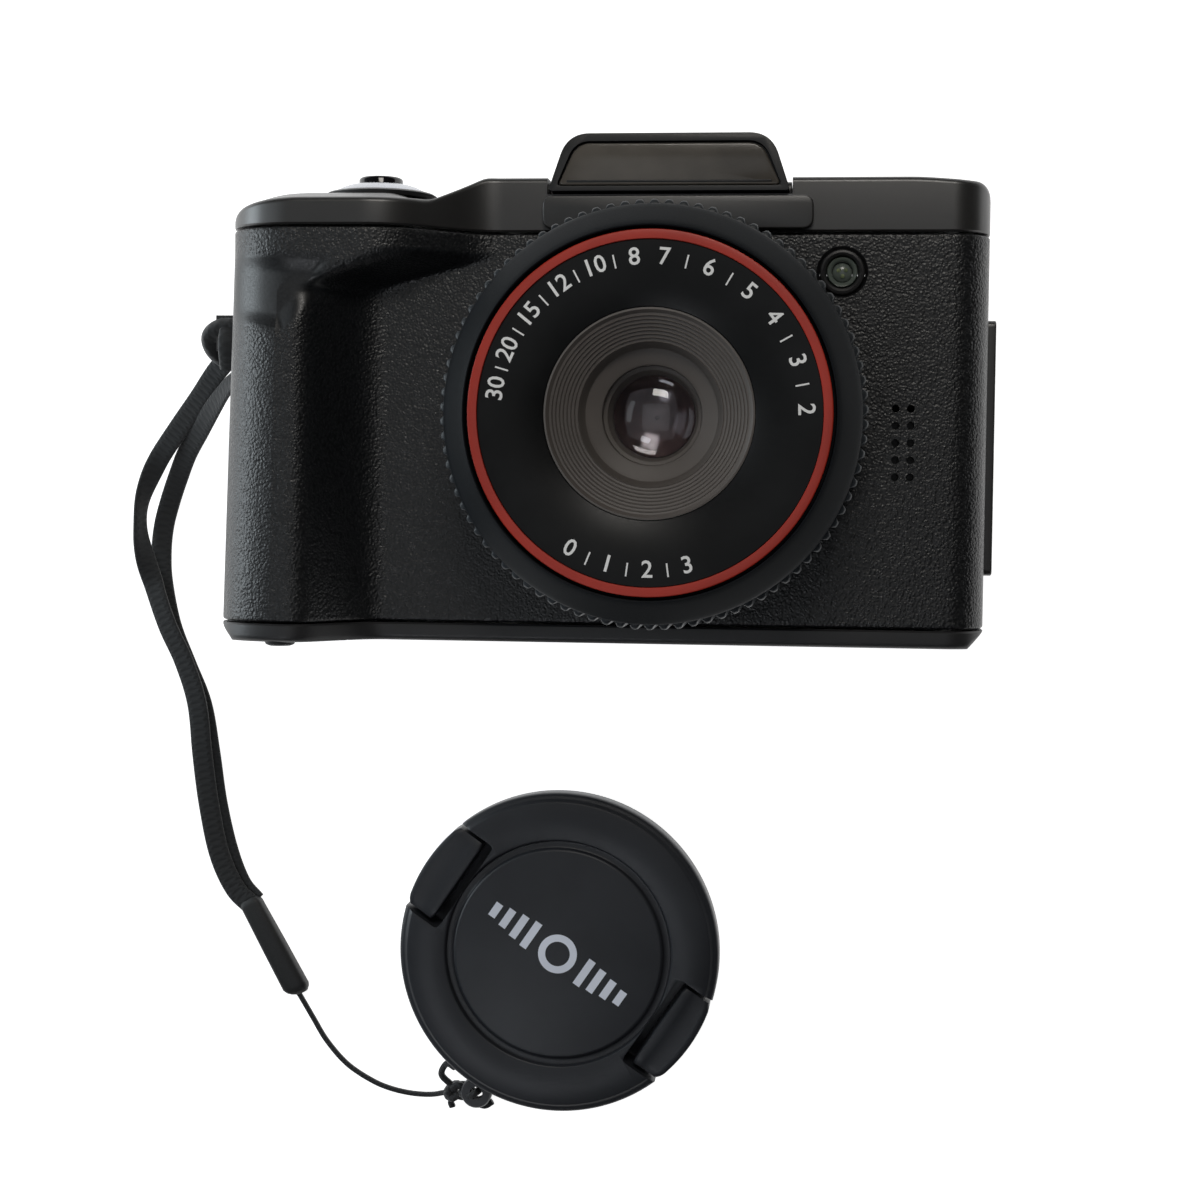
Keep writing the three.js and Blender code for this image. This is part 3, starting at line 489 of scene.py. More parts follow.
def area_light(name, place, aim, size, power, color=(1, 1, 1)):
    data = bpy.data.lights.new(name, "AREA")
    data.shape = "RECTANGLE"
    data.size, data.size_y = (s * MM for s in size)
    data.energy = power
    data.color = color
    light = bpy.data.objects.new(name, data)
    light.location = to_frame(place)
    direction = to_frame(aim) - light.location
    light.rotation_euler = direction.to_track_quat("-Z", "Y").to_euler()
    bpy.context.scene.collection.objects.link(light)


def make_light():
    world = bpy.data.worlds.new("studio")
    world.use_nodes = True
    world.node_tree.nodes["Background"].inputs["Color"].default_value = (0.92, 0.95, 1, 1)
    world.node_tree.nodes["Background"].inputs["Strength"].default_value = 0.01
    bpy.context.scene.world = world
    bpy.context.scene.view_settings.view_transform = "Standard"
    area_light("left_low", (-420, 40, 110), (0, 0, 15), (260, 160), 0.85, (0.86, 0.95, 1))
    area_light("left_high", (-350, 80, 350), (0, 0, 15), (250, 250), 0.22, (0.9, 0.96, 1))
    area_light("far_high", (60, 350, 500), (0, 0, 15), (220, 150), 1.1, (1, 0.96, 0.9))
    area_light("overhead", (0, 0, 650), (0, 0, 15), (400, 400), 0.24, (0.95, 0.97, 1))
    area_light("near_high", (-130, -280, 450), (0, 0, 15), (120, 110), 0.25, (0.92, 0.95, 1))


def make_floor():
    mesh_data = bmesh.new()
    bmesh.ops.create_grid(mesh_data, x_segments=1, y_segments=1, size=1500)
    floor = new_object("floor", mesh_data)
    floor.location.z = -0.00002
    look, _, shader = material("pale_floor")
    shader.inputs["Base Color"].default_value = (0.85, 0.85, 0.85, 1)
    shader.inputs["Roughness"].default_value = 0.9
    shader.inputs["Specular IOR Level"].default_value = 0.1
    shader.inputs["Emission Color"].default_value = (1, 1, 1, 1)
    shader.inputs["Emission Strength"].default_value = 0.95
    floor.data.materials.append(look)


make_camera()
make_light()
make_floor()


# ---- Cords: two strands of flat webbing, a sleeve, then the thin tether -------------------------
LEFT_STRAND = [
    (-57.4, 8.8, 15.6), (-60.8, 6.2, 12.8), (-64.4, 2.2, 9.8), (-68.6, -2.4, 6.8), (-72.3, -6.8, 4.4),
    (-74.5, -10.9, 3.1), (-75.7, -14.6, 2.4), (-75.9, -18.6, 2.1), (-75.3, -22.6, 2.0), (-74.2, -26.6, 2.0),
    (-71.9, -33.2, 2.0), (-69.3, -38.8, 1.9), (-67.2, -45.4, 1.8), (-66.3, -53.4, 1.8), (-65.2, -61.3, 1.8),
    (-63.5, -69.2, 1.8), (-61.0, -74.6, 1.9), (-58.2, -77.4, 2.0),
]
RIGHT_STRAND = [
    (-55.6, 5.6, 17.2), (-58.6, 3.8, 14.0), (-61.9, 0.8, 10.6), (-65.2, -2.8, 7.4), (-68.0, -6.2, 4.4),
    (-70.1, -9.9, 2.2), (-71.8, -13.8, 0.9), (-72.9, -17.6, 0.5), (-73.3, -21.6, 0.5), (-73.1, -26.4, 0.5),
    (-71.7, -33.3, 0.5), (-69.3, -39.4, 0.5), (-66.7, -45.8, 0.5), (-65.3, -53.4, 0.5), (-64.1, -61.3, 0.5),
    (-62.3, -68.8, 0.5), (-60.1, -74.0, 0.9), (-57.6, -76.8, 1.2),
]
TETHER = [
    (-51.6, -89.9, 1.5), (-50.2, -92.2, 1.2), (-48.5, -95.4, 0.6), (-46.3, -99.0, 0.5), (-43.0, -102.6, 0.5),
    (-39.0, -105.1, 0.5), (-35.8, -106.3, 0.5), (-32.5, -106.9, 0.5), (-29.4, -106.9, 0.7),
    (-26.9, -106.2, 1.6),
]
STRAP_WIDTH = 3.2
STRAP_THICKNESS = 0.8
TETHER_WIDTH = 0.8


def smooth_path(points, per_span=8):
    """A Catmull-Rom curve through the points."""
    p = [Vector(q) for q in points]
    p = [p[0] * 2 - p[1]] + p + [p[-1] * 2 - p[-2]]
    path = []
    for a, b, c, d in zip(p, p[1:], p[2:], p[3:]):
        for i in range(per_span):
            t = i / per_span
            path.append(0.5 * (2 * b + (c - a) * t + (2 * a - 5 * b + 4 * c - d) * t * t
                               + (3 * b - a - 3 * c + d) * t ** 3))
    path.append(p[-2])
    return path


def path_length(path):
    return sum((b - a).length for a, b in zip(path, path[1:]))


def swell(middle, half, value):
    """1 at the middle, easing to 0 at half a width away."""
    return 1 - smooth_step(0, half, abs(value - middle))


def tape(name, path, width, thickness, tilt, sides=24):
    """A flat tape along a path. tilt(share of its length) turns its width up from the floor, degrees."""
    total = path_length(path)
    rows, lengths, run = [], [], 0.0
    for i, here in enumerate(path):
        ahead = path[min(i + 1, len(path) - 1)] - path[max(i - 1, 0)]
        ahead.normalize()
        side = ahead.cross(Vector((0, 0, 1))).normalized()
        up = side.cross(ahead)
        angle = math.radians(tilt(run / total))
        wide = side * math.cos(angle) + up * math.sin(angle)
        thick = up * math.cos(angle) - side * math.sin(angle)
        lift = Vector((0, 0, abs(math.sin(angle)) * (width - thickness) / 2))
        row = []
        for k in range(sides):
            a = 2 * math.pi * (k + 0.5) / sides
            x = math.copysign(abs(math.cos(a)) ** 0.45, math.cos(a)) * width / 2
            y = math.copysign(abs(math.sin(a)) ** 0.75, math.sin(a)) * thickness / 2
            row.append(here + lift + wide * x + thick * y)
        rows.append(row)
        lengths.append(run)
        if i + 1 < len(path):
            run += (path[i + 1] - here).length
    piece = loft(name, rows)
    chart = piece.data.uv_layers.new(name="tape")
    for polygon in piece.data.polygons:
        for corner in polygon.loop_indices:
            row, k = divmod(piece.data.loops[corner].vertex_index, sides)
            across = math.cos(2 * math.pi * (k + 0.5) / sides)
            chart.data[corner].uv = (across, lengths[min(row, len(lengths) - 1)])
    return shade(piece, 60)


def make_strand(name, points, node, tilt):
    path = smooth_path(points)
    piece = tape(name, path, STRAP_WIDTH, STRAP_THICKNESS, tilt)
    dress(piece, "webbing", nodes=[node])


def make_tether():
    path = smooth_path(TETHER)
    piece = tape("cap_tether_cord", path, TETHER_WIDTH, TETHER_WIDTH, lambda share: 0, 12)
    dress(piece, "thread", nodes=["cap_tether"])
    tether_knot()


def strap_loop():
    """The folded end of the webbing, pulled tight round the lug."""
    points = [(-55.6, 11.9, 19.2), (-58.2, 11.9, 19.2), (-59.9, 10.8, 18.4), (-59.9, 9.2, 16.8),
              (-58.8, 8.0, 15.0), (-56.4, 7.8, 14.0)]
    piece = tape("strap_loop", smooth_path(points), 3.2, 2.0, lambda share: 40)
    dress(piece, "webbing")
    knot = tape("strap_loop_wrap", smooth_path([(-56.2, 13.0, 18.6), (-56.2, 9.8, 20.6), (-56.4, 6.2, 18.8)]),
                4.4, 1.8, lambda share: 12)
    dress(knot, "webbing")


def strap_sleeve():
    """The moulded sleeve that grips both strands and lets the tether out at its pointed end."""
    start, end = Vector((-58.6, -76.4, 1.9)), Vector((-50.5, -91.4, 1.4))
    ahead = (end - start).normalized()
    side = ahead.cross(Vector((0, 0, 1))).normalized()
    rows = []
    for share, width, height, skew in ((0, 2.5, 2.0, 0), (0.02, 3.1, 2.5, 0), (0.06, 3.4, 2.8, 0),
                                       (0.5, 3.7, 3.0, 0), (0.90, 3.9, 3.0, 0), (0.94, 3.6, 2.8, 0.3),
                                       (0.97, 2.9, 2.3, 0.6), (1.0, 1.5, 1.4, 1.0)):
        middle = start.lerp(end, share) - side * skew * 0.6
        row = []
        for k in range(24):
            a = 2 * math.pi * (k + 0.5) / 24
            x = math.copysign(abs(math.cos(a)) ** 0.5, math.cos(a)) * width / 2
            z = math.copysign(abs(math.sin(a)) ** 0.5, math.sin(a)) * height / 2
            row.append(middle + side * x + Vector((0, 0, z)))
        rows.append(row)
    dress(shade(loft("sleeve", rows), 50), "rubber", nodes=["strap_sleeve"])


KNOT_AT = Vector((-24.8, -105.7, 2.2))


def tether_knot():
    """The tether tied through the cap's eyelet: turns of the thread pulled into a lump, and its tails."""
    points = []
    turns, steps = 4.3, 90
    for i in range(steps):
        t = i / (steps - 1)
        a = 2 * math.pi * turns * t
        swing = 1.0 + 0.35 * math.sin(2.1 * a)
        points.append(KNOT_AT + Vector((1.25 * swing * math.cos(a) + 1.2 * (t - 0.5), swing * math.sin(a),
                                        0.9 * math.sin(1.7 * a))))
    lump = tape("knot_turns", points, 1.05, 1.05, lambda share: 0, 10)
    dress(lump, "thread", nodes=["tether_knot"])
    strings = {
        "knot_loop": ((-25.8, -104.9, 2.4), (-27.4, -103.0, 3.0), (-26.4, -101.0, 4.0), (-25.0, -101.4, 4.6)),
        "knot_through": ((-24.4, -105.9, 3.0), (-22.9, -105.7, 5.0), (-21.6, -105.1, 5.3),
                         (-21.3, -104.9, 3.2)),
        "knot_under": ((-24.0, -106.3, 1.6), (-22.6, -106.4, 1.4), (-21.5, -105.5, 2.2),
                       (-21.6, -105.0, 4.4)),
        "knot_tail": ((-24.6, -106.0, 1.4), (-22.6, -107.6, 1.0), (-20.9, -108.3, 0.9), (-19.6, -107.6, 0.9)),
        "knot_tail_short": ((-25.4, -106.2, 1.4), (-26.2, -107.8, 1.0), (-26.0, -108.7, 0.8)),
    }
    for name, route in strings.items():
        dress(tape(name, smooth_path(route), 1.0, 0.9, lambda share: 0, 10), "thread")
    return lump


make_strand("strap_tape_left", LEFT_STRAND, "strap_strand_outer",
            lambda share: 74 * swell(0.355, 0.13, share) + 10 * math.sin(9 * share))
make_strand("strap_tape_right", RIGHT_STRAND, "strap_strand_inner",
            lambda share: -38 * swell(0.02, 0.2, share) + 8 * math.sin(5 * share))
make_tether()
strap_loop()
strap_sleeve()


# ---- Body --------------------------------------------------------------------------------------
CHANNEL_STEPS = 22


def side_wall(start, foot, corner, inset):
    """A side of the grip in (x, z): a soft corner, a flat slope, then a fillet at its foot."""
    foot = foot - inset
    grip, front = GRIP_FRONT - inset, BODY_FRONT - inset
    reach, drop = corner
    top, low = (start + reach, grip - drop), (foot - FILLET_REACH, front)
    before = (mix(top[0], low[0], -0.3), mix(top[1], low[1], -0.3))
    points = bezier((start, grip), (start + reach * 0.45, grip), before, top, CHANNEL_STEPS)
    middle = (mix(top[0], low[0], 0.65), mix(top[1], low[1], 0.65))
    points += bezier(top, middle, low, (foot, front), CHANNEL_STEPS)[1:]
    return points


def grip_wall(inset):
    return side_wall(-45.6, -31.4, (5.2, 1.9), inset)


def shoulder_wall(inset):
    return side_wall(-34.0, -15.3, (8.5, 3.4), inset)


def channel(wide, inset=0.0):
    return [(mix(x0, x1, wide), mix(z0, z1, wide))
            for (x0, z0), (x1, z1) in zip(grip_wall(inset), shoulder_wall(inset))]


CHANNELS = {wide: channel(wide) for wide in (0.0, 1.0)}


def plan_front(x, wide):
    """How far out (z) the front stands at x. wide is 1 at the shoulder over the fingers, 0 at the grip."""
    wall = CHANNELS[wide]
    if x <= wall[0][0]:
        return GRIP_FRONT
    for (x0, z0), (x1, z1) in zip(wall, wall[1:]):
        if x <= x1:
            return mix(z0, z1, (x - x0) / max(x1 - x0, 1e-6))
    return BODY_FRONT


FLARE = 1.6


def flare(x, y):
    """The left side leans out towards the base."""
    return x - FLARE * min(max((22 - y) / 52, 0), 1) * smooth_step(-36, -HALF_WIDTH, x)


def plan_points(wide, back, inset=0.0, fine=1.0):
    """The front of the body seen from its top plate, in (x, z), from the left back round to the right."""
    left, right = -HALF_WIDTH + inset, HALF_WIDTH - inset
    depth, reach, round_right = GRIP_ROUND - inset, GRIP_REACH - inset, SIDE_ROUND - inset
    grip, front = GRIP_FRONT - inset, BODY_FRONT - inset
    wall = channel(wide, inset)
    points = [(left, z) for z in spread(back, grip - depth, int(14 * fine))]
    points += [(left + reach * (1 - math.cos(a)), grip - depth * (1 - math.sin(a)))
               for a in spread(0, math.pi / 2, int(20 * fine))[1:]]
    points += [(x, grip) for x in spread(points[-1][0], wall[0][0], int(10 * fine))[1:-1]]
    points += wall
    points += [(x, front) for x in spread(wall[-1][0], right - round_right, int(50 * fine))[1:]]
    points += arc(right - round_right, front - round_right, round_right, 90, 0, int(14 * fine))[1:]
    points += [(right, z) for z in spread(front - round_right, back, int(8 * fine))[1:]]
    return points


DISH = [(-58.0, 22.2), (-38.0, 21.0), (-38.2, 16.4), (-44.4, 9.6), (-58.0, 12.4)]
DISH_DEPTH = 0.9
DISH_EDGE = 3.2


def dish_share(x, y):
    """1 inside the smooth rest for the fingertip, 0 outside, eased over its edge."""
    inside = 1e9
    for (x0, y0), (x1, y1) in zip(DISH, DISH[1:] + DISH[:1]):
        along = Vector((x1 - x0, y1 - y0))
        out = Vector((-along.y, along.x)).normalized()
        inside = min(inside, -out.dot(Vector((x - x0, y - y0))))
    return smooth_step(-0.4, DISH_EDGE, inside)


def shoulder_share(y):
    """How much of the wide shoulder there is at this height: it flares out of the narrow grip."""
    return smooth_step(15.6, 22.2, y) ** 1.25


def edge_inset(y, low, high, radius):
    """Pulls the surface in at both ends so that the seams have rounded lips."""
    near = min(y - low, high - y)
    if near >= radius:
        return 0.0
    return radius - math.sqrt(radius ** 2 - (radius - near) ** 2)


def front_shell():
    low, high = SEAM_BASE, SEAM_TOP
    back = local_box("front_shell")[0].z
    levels = [low + e for e in (0, 0.06, 0.14, 0.25, 0.4)] + spread(low + 0.8, 8, 60)
    levels += spread(8, 23.6, 100)[1:] + [high - e for e in (0.9, 0.4, 0.25, 0.14, 0.06, 0)]
    rows = []
    for y in levels:
        wide = shoulder_share(y)
        inset = edge_inset(y, low, high, 0.4)
        outer = []
        for x, z in plan_points(wide, back, inset):
            reach = smooth_step(GRIP_FRONT - 7, GRIP_FRONT - 1, z)
            outer.append((flare(x, y), y, z - DISH_DEPTH * dish_share(x, y) * reach))
        inner = [(flare(x, y), y, z) for x, z in plan_points(wide, back, 2.0, 0.34)]
        rows.append(outer + inner[::-1])
    shell = loft("grip_shell", rows)
    chart = shell.data.uv_layers.new(name="grain")
    for item in shell.data.loops:
        place = shell.data.vertices[item.vertex_index].co / MM - ORIGIN
        chart.data[item.index].uv = (1 - 0.93 * smooth_step(0, 0.35, dish_share(place.x, place.y)), 0)
    cut = [lens_hole(), led_hole(), door_hole(), lug_hole(), microphone_holes()]
    combine(shell, cut)
    return dress(shade(shell, 32), "grain", nodes=["front_shell"])


LENS_HOLE = 24.6


def lens_hole():
    return prism("lens_hole", circle(LENS_AXIS.x, LENS_AXIS.y, LENS_HOLE, 96), 20, 30)


def led_hole():
    middle = local_middle("led_bezel")
    return lathe("led_hole", [(0, 20), (3.2, 20), (3.2, 27.1), (3.7, 27.6), (3.7, 30), (0, 30)],
                 (middle.x, middle.y, 0), 48, closed=False)


def door_hole():
    low, high = local_box("side_door")
    outline = rounded_box(low.y - GAP, high.y + GAP, low.z - GAP, high.z + GAP, 1.0)
    return prism("door_hole", outline, 50, 60, "x")


def lug_hole():
    return prism("lug_hole", rounded_box(8.9, 13.7, 15.7, 20.3, 0.6), -60, -48, "x")


SOUND = {"x": 41.6, "top": 0.5, "rows": 5, "pitch": 2.4, "columns": 2.1, "hole": 0.55}


def microphone_holes():
    """Two columns of small round holes, as one cutter."""
    outlines = []
    for side in (-0.5, 0.5):
        for row in range(SOUND["rows"]):
            x = SOUND["x"] + side * SOUND["columns"]
            y = SOUND["top"] - row * SOUND["pitch"]
            outlines.append(circle(x, y, SOUND["hole"], 20))
    data = bmesh.new()
    for outline in outlines:
        low = [data.verts.new((x, y, 24.5)) for x, y in outline]
        high = [data.verts.new((x, y, 29)) for x, y in outline]
        data.faces.new(low[::-1])
        data.faces.new(high)
        for i in range(len(outline)):
            k = (i + 1) % len(outline)
            data.faces.new((low[i], low[k], high[k], high[i]))
    return new_object("microphone_holes", data)


def section_solid(name, stations, section):
    """A solid built from cross-sections along x: section(x) is a closed list of (y, z)."""
    return loft(name, [[(flare(x, y), y, z) for y, z in section(x)] for x in stations])


def end_stations(left_radius, right_radius, middle):
    """x stations that follow the round corners at both ends, with the given ones between."""
    angles = spread(0, math.pi / 2, 18)
    left = [-HALF_WIDTH + left_radius * (1 - math.cos(a)) for a in angles]
    right = [HALF_WIDTH - right_radius * (1 - math.cos(a)) for a in angles]
    return left + [x for x in middle if left[-1] < x < right[-1]] + right[::-1]


def corner_drop(x, edge, depth, reach=None):
    """How far a round corner of this depth pulls back at x, when it starts at edge and ends at reach."""
    share = 1 - abs(edge - x) / (reach or depth)
    if share <= 0:
        return 0.0
    return depth * (1 - math.sqrt(max(1 - share ** 2, 0)))


def body_front(x, wide):
    if x < 0:
        return plan_front(x, wide) - corner_drop(x, -HALF_WIDTH, GRIP_ROUND, GRIP_REACH)
    return plan_front(x, wide) - corner_drop(x, HALF_WIDTH, SIDE_ROUND)


def body_back(x, base=1.4, radius=3.0):
    return base + corner_drop(x, math.copysign(HALF_WIDTH, x), radius)


RAMP_START, RAMP_END = -25.5, -17.0


def top_height(x):
    """The top plate: a low deck over the grip, a ramp, then the high deck with a round right corner."""
    if x < -42.5:
        t = math.sqrt(max(x + HALF_WIDTH, 0) / 11)
        return 25.6 * (1 - t) ** 2 + 28.7 * 2 * t * (1 - t) + DECK * t * t
    if x < RAMP_END:
        return mix(DECK, BODY_TOP, smooth_ramp((x - RAMP_START) / (RAMP_END - RAMP_START)))
    return BODY_TOP - 0.6 * smooth_step(42, HALF_WIDTH, x) - corner_drop(x, HALF_WIDTH, 2.2)


def smooth_ramp(t):
    """A straight ramp whose two ends are eased over a short way."""
    ease = 0.18
    t = min(max(t, 0), 1)
    if t < ease:
        return t * t / (2 * ease) / (1 - ease)
    if t > 1 - ease:
        return 1 - (1 - t) ** 2 / (2 * ease) / (1 - ease)
    return (t - ease / 2) / (1 - ease)


CROWN = 2.0


def deck_crown(x):
    """How much the low deck over the grip swells up between its edges."""
    return CROWN * smooth_step(-HALF_WIDTH, -45.5, x) * (1 - smooth_step(-31.5, RAMP_START + 0.5, x))


def lipped_section(low, high, back, front, lip, crown=0.0, steps=6):
    """A rectangle in (y, z) with its two high corners rounded, and a crown between them."""
    lip = min(lip, (high - low) * 0.45, (front - back) * 0.45)
    seam = min(0.25, lip)
    points = [(low, back), (low, front - seam), (low + seam, front)]
    points += [(y, z) for z, y in arc(front - lip, high - lip, lip, 0, 90, steps)]
    for share in spread(0, 1, 12)[1:-1]:
        points.append((high + crown * (1 - abs(2 * share - 1) ** 2.6), mix(front - lip, back + lip, share)))
    points += [(y, z) for z, y in arc(back + lip, high - lip, lip, 90, 180, steps)]
    return points


def drill(name, middle, radius, floor):
    """A round cutter that stands on its floor and runs out through the top plate."""
    profile = [(0, floor), (radius, floor), (radius, CUT_HEIGHT), (0, CUT_HEIGHT)]
    return lathe(name, profile, (middle.x, 0, middle.z), 48, "y", False)


def top_cover():
    low = SEAM_TOP + GAP
    middle = spread(-45.4, 47.9, 150)

    def section(x):
        return lipped_section(low, top_height(x), body_back(x), body_front(x, 1.0), 0.8, deck_crown(x))

    cover = section_solid("top_plate", end_stations(GRIP_REACH, SIDE_ROUND, middle), section)
    half = 17.3
    pocket = prism("pocket", [(4.2, 27.3), (25.5, 27.3), (25.5, 30.4), (40, 30.4), (40, 40), (4.2, 40)],
                   FLASH_X - half, FLASH_X + half, "x_zy")
    shutter = local_middle("shutter_button")
    power = local_middle("power_button")
    cutters = [pocket, drill("shutter_hole", shutter, 5, 26.5), drill("power_hole", power, 3.5, 30)]
    combine(cover, cutters)
    dress(shade(cover, 30), "cover", nodes=["top_cover"])


def base_plate():
    high = SEAM_BASE - GAP

    def section(x):
        cut = max(abs(x) - (HALF_WIDTH - 2.3), 0) / 2.3
        low = mix(BODY_BOTTOM, high - 0.1, cut)
        flipped = lipped_section(-high, -low, body_back(x), body_front(x, 0.0), 0.9)
        return [(-y, z) for y, z in flipped]

    stations = end_stations(GRIP_REACH, SIDE_ROUND, spread(-45.4, 47.9, 120))
    plate = section_solid("bottom_plate", stations, section)
    cutters = []
    door_low, door_high = local_box("battery_door")
    outline = rounded_box(door_low.x - GAP, door_high.x + GAP, door_low.z - GAP, door_high.z + GAP, 1.5)
    cutters.append(prism("battery_hole", outline, CUT_DEPTH, BODY_BOTTOM + 2.2, "y"))
    for name, margin in [("tripod_nut", -1.7), ("foot_1", 0.3), ("foot_2", 0.3)]:
        low, high_corner = local_box(name)
        middle = (low + high_corner) / 2
        radius = (high_corner.x - low.x) / 2 + margin
        outline = circle(middle.x, middle.z, radius, 40)
        cutters.append(prism(name + "_hole", outline, CUT_DEPTH, BODY_BOTTOM + 2, "y"))
    for i in range(1, 5):
        middle = local_middle(f"base_screw_{i}")
        outline = circle(middle.x, middle.z, 1.9, 24)
        cutters.append(prism(f"screw_hole_{i}", outline, CUT_DEPTH, BODY_BOTTOM + 1.3, "y"))
    combine(plate, cutters)
    dress(shade(plate, 30), "base", nodes=["base_plate"])


def rear_shell():
    low, high = local_box("rear_shell")
    front, back, radius = high.z, 1.0, 3.5
    points = arc(-HALF_WIDTH + radius, back + radius, radius, 180, 270, 16)
    points += arc(HALF_WIDTH - radius, back + radius, radius, 270, 360, 16)
    outline = [(-HALF_WIDTH, front)] + points + [(HALF_WIDTH, front)]
    levels = spread(low.y, 22, 8) + [high.y]
    shell = loft("rear_case", [[(flare(x, y), y, z) for x, z in outline] for y in levels])
    hollow = [(-51.5, -28.5), (51.5, -28.5), (51.5, 23), (-51.5, 23)]
    cutters = [door_hole(), prism("inside", hollow, 3.2, 13)]
    screen_low, screen_high = local_box("screen_frame")
    cutters.append(prism("screen_hole", rounded_box(screen_low.x - GAP, screen_high.x + GAP,
                                                    screen_low.y - GAP, screen_high.y + GAP, 2.3), -1, 5))
    for name, (x, y, half_x, half_y, radius) in REAR_BUTTONS.items():
        outline = rounded_box(x - half_x - GAP, x + half_x + GAP, y - half_y - GAP, y + half_y + GAP,
                              radius + GAP, 12)
        cutters.append(prism(name + "_hole", outline, -1, 5))
    combine(shell, cutters)
    rest = prism("thumb_rest", rounded_box(-50, -37, 2, 19, 4, 10), 0, 1.5)
    combine(shell, [rest], "UNION")
    dress(soften(shell, 0.3, 2, 40), "cover", nodes=["rear_shell"])
    for i in range(6):
        y = 4.8 + i * 2.3
        ridge = prism(f"thumb_ridge_{i}", rounded_box(-47.6, -39.4, y, y + 0.9, 0.4), -0.25, 0.3)
        dress(soften(ridge, 0.2, 2), "rubber")


def button_box(name):
    low, high = local_box(name)
    middle = (low + high) / 2
    flange = 0.8
    half_x = (high.x - low.x) / 2 - flange
    half_y = (high.y - low.y) / 2 - flange
    return middle.x, middle.y, half_x, half_y, min(half_x, half_y)


REAR_KEYS = ("zoom_rocker", "menu_button", "play_button", "four_way_pad")
REAR_BUTTONS = {name: button_box(name) for name in REAR_KEYS}


def side_door():
    low, high = local_box("side_door")
    outline = rounded_box(low.y, high.y, low.z, high.z, 1.0)
    door = prism("door_leaf", outline, high.x - 2.2, high.x, "x")
    grip = prism("door_grip", rounded_box(high.y - 6, high.y - 4.4, low.z + 4, high.z - 4, 0.6),
                 high.x - 0.5, high.x + 1, "x")
    combine(door, [grip])
    dress(soften(door, 0.5, 4), "cover", "side_flap", ["side_door"])


def hump_fascia():
    low, high = local_box("hump_fascia")
    outline = rounded_box(low.x + 3.2, high.x + 0.5, low.y, high.y, 1.6)
    plate = prism("fascia_plate", outline, low.z - 0.8, high.z)
    dress(soften(plate, 0.25, 3), "cover", nodes=["hump_fascia"])


def flash_outline(inset):
    x, half, crown = FLASH_X, 17.0 - inset, 12.6 - inset
    low, high = 30.7 + inset * 0.6, 38.7 - inset
    round_top = 4.4 - inset
    return rounded([(x - half, low, 0.5), (x + half, low, 0.5), (x + crown + 1.7, high, round_top),
                    (x - crown - 1.7, high, round_top)], 16)


def flash_head():
    low, high = local_box("flash_head")
    head = prism("flash_case", flash_outline(0), low.z, high.z)
    well = prism("flash_well", flash_outline(1.1), high.z - 1.6, high.z + 1)
    slot = prism("flash_slot", [(7.5, FLASH_X - 15.4), (11.8, FLASH_X - 15.4), (11.8, FLASH_X - 10.6),
                                (7.5, FLASH_X - 10.6)], 29, 33, "y_zx")
    combine(head, [well, slot])
    skirts = []
    for side in (-1, 1):
        x0, x1 = sorted((FLASH_X + side * 16.0, FLASH_X + side * 17.15))
        skirts.append(prism(f"skirt_{side}", rounded_box(low.z, 24.5, 28.2, 32.6, 1.2), x0, x1, "x_zy"))
    combine(head, skirts, "UNION")
    dress(soften(head, 0.45, 4, 40), "case", "flash", ["flash_head"])
    pane = prism("flash_pane", flash_outline(1.35), high.z - 2.1, high.z - 0.25)
    dress(soften(pane, 0.3, 3), "window", "flash", ["flash_window"])
    sill = prism("pane_sill", rounded_box(FLASH_X - 14.4, FLASH_X + 14.4, 31.9, 32.2, 0.1),
                 high.z - 0.6, high.z - 0.1)
    dress(soften(sill, 0.1, 2), "base", "flash")


def shutter_release():
    middle = local_middle("shutter_button")
    at = (middle.x, 0, middle.z)
    deck = DECK + CROWN - 0.1
    dome = [(3.6, deck - 3), (4.6, deck - 3), (4.6, deck)] + dome_profile(7.2, 3.6, deck + 0.15, 1.4, 16)
    collar = lathe("shutter_dome", dome, at, 96, "y")
    dress(shade(collar, 40), "silver", nodes=["shutter_collar"])
    seat = lathe("shutter_seat", [(4.8, deck - 0.6), (7.9, deck - 0.6), (8.1, deck), (7.7, deck + 0.25),
                                  (4.8, deck + 0.3)], at, 96, "y")
    dress(shade(seat, 40), "base")
    top = local_box("shutter_button")[1].y
    button = [(0, DECK), (3.2, DECK), (3.2, top - 0.45), (3.1, top - 0.2), (2.85, top - 0.05), (2.4, top),
              (1.2, top - 0.15), (0, top - 0.2)]
    release = lathe("release_button", button, at, 96, "y", False)
    dress(shade(release, 40), "gloss", "shutter", ["shutter_button"])


def dome_profile(foot, mouth, low, height, steps):
    """A low dome from its foot up to a mouth: radius against height."""
    points = []
    for i in range(steps + 1):
        t = i / steps
        points.append((mix(foot, mouth, t), low + height * math.sin(t * math.pi / 2) ** 0.9))
    return points


def power_button():
    middle = local_middle("power_button")
    high = local_box("power_button")[1].y
    profile = [(0, 30), (3.2, 30), (3.2, high - 0.4), (3.05, high - 0.1), (2.7, high), (0, high - 0.1)]
    button = lathe("power_key", profile, (middle.x, 0, middle.z), 64, "y", False)
    dress(shade(button, 40), "silver", "power", ["power_button"])


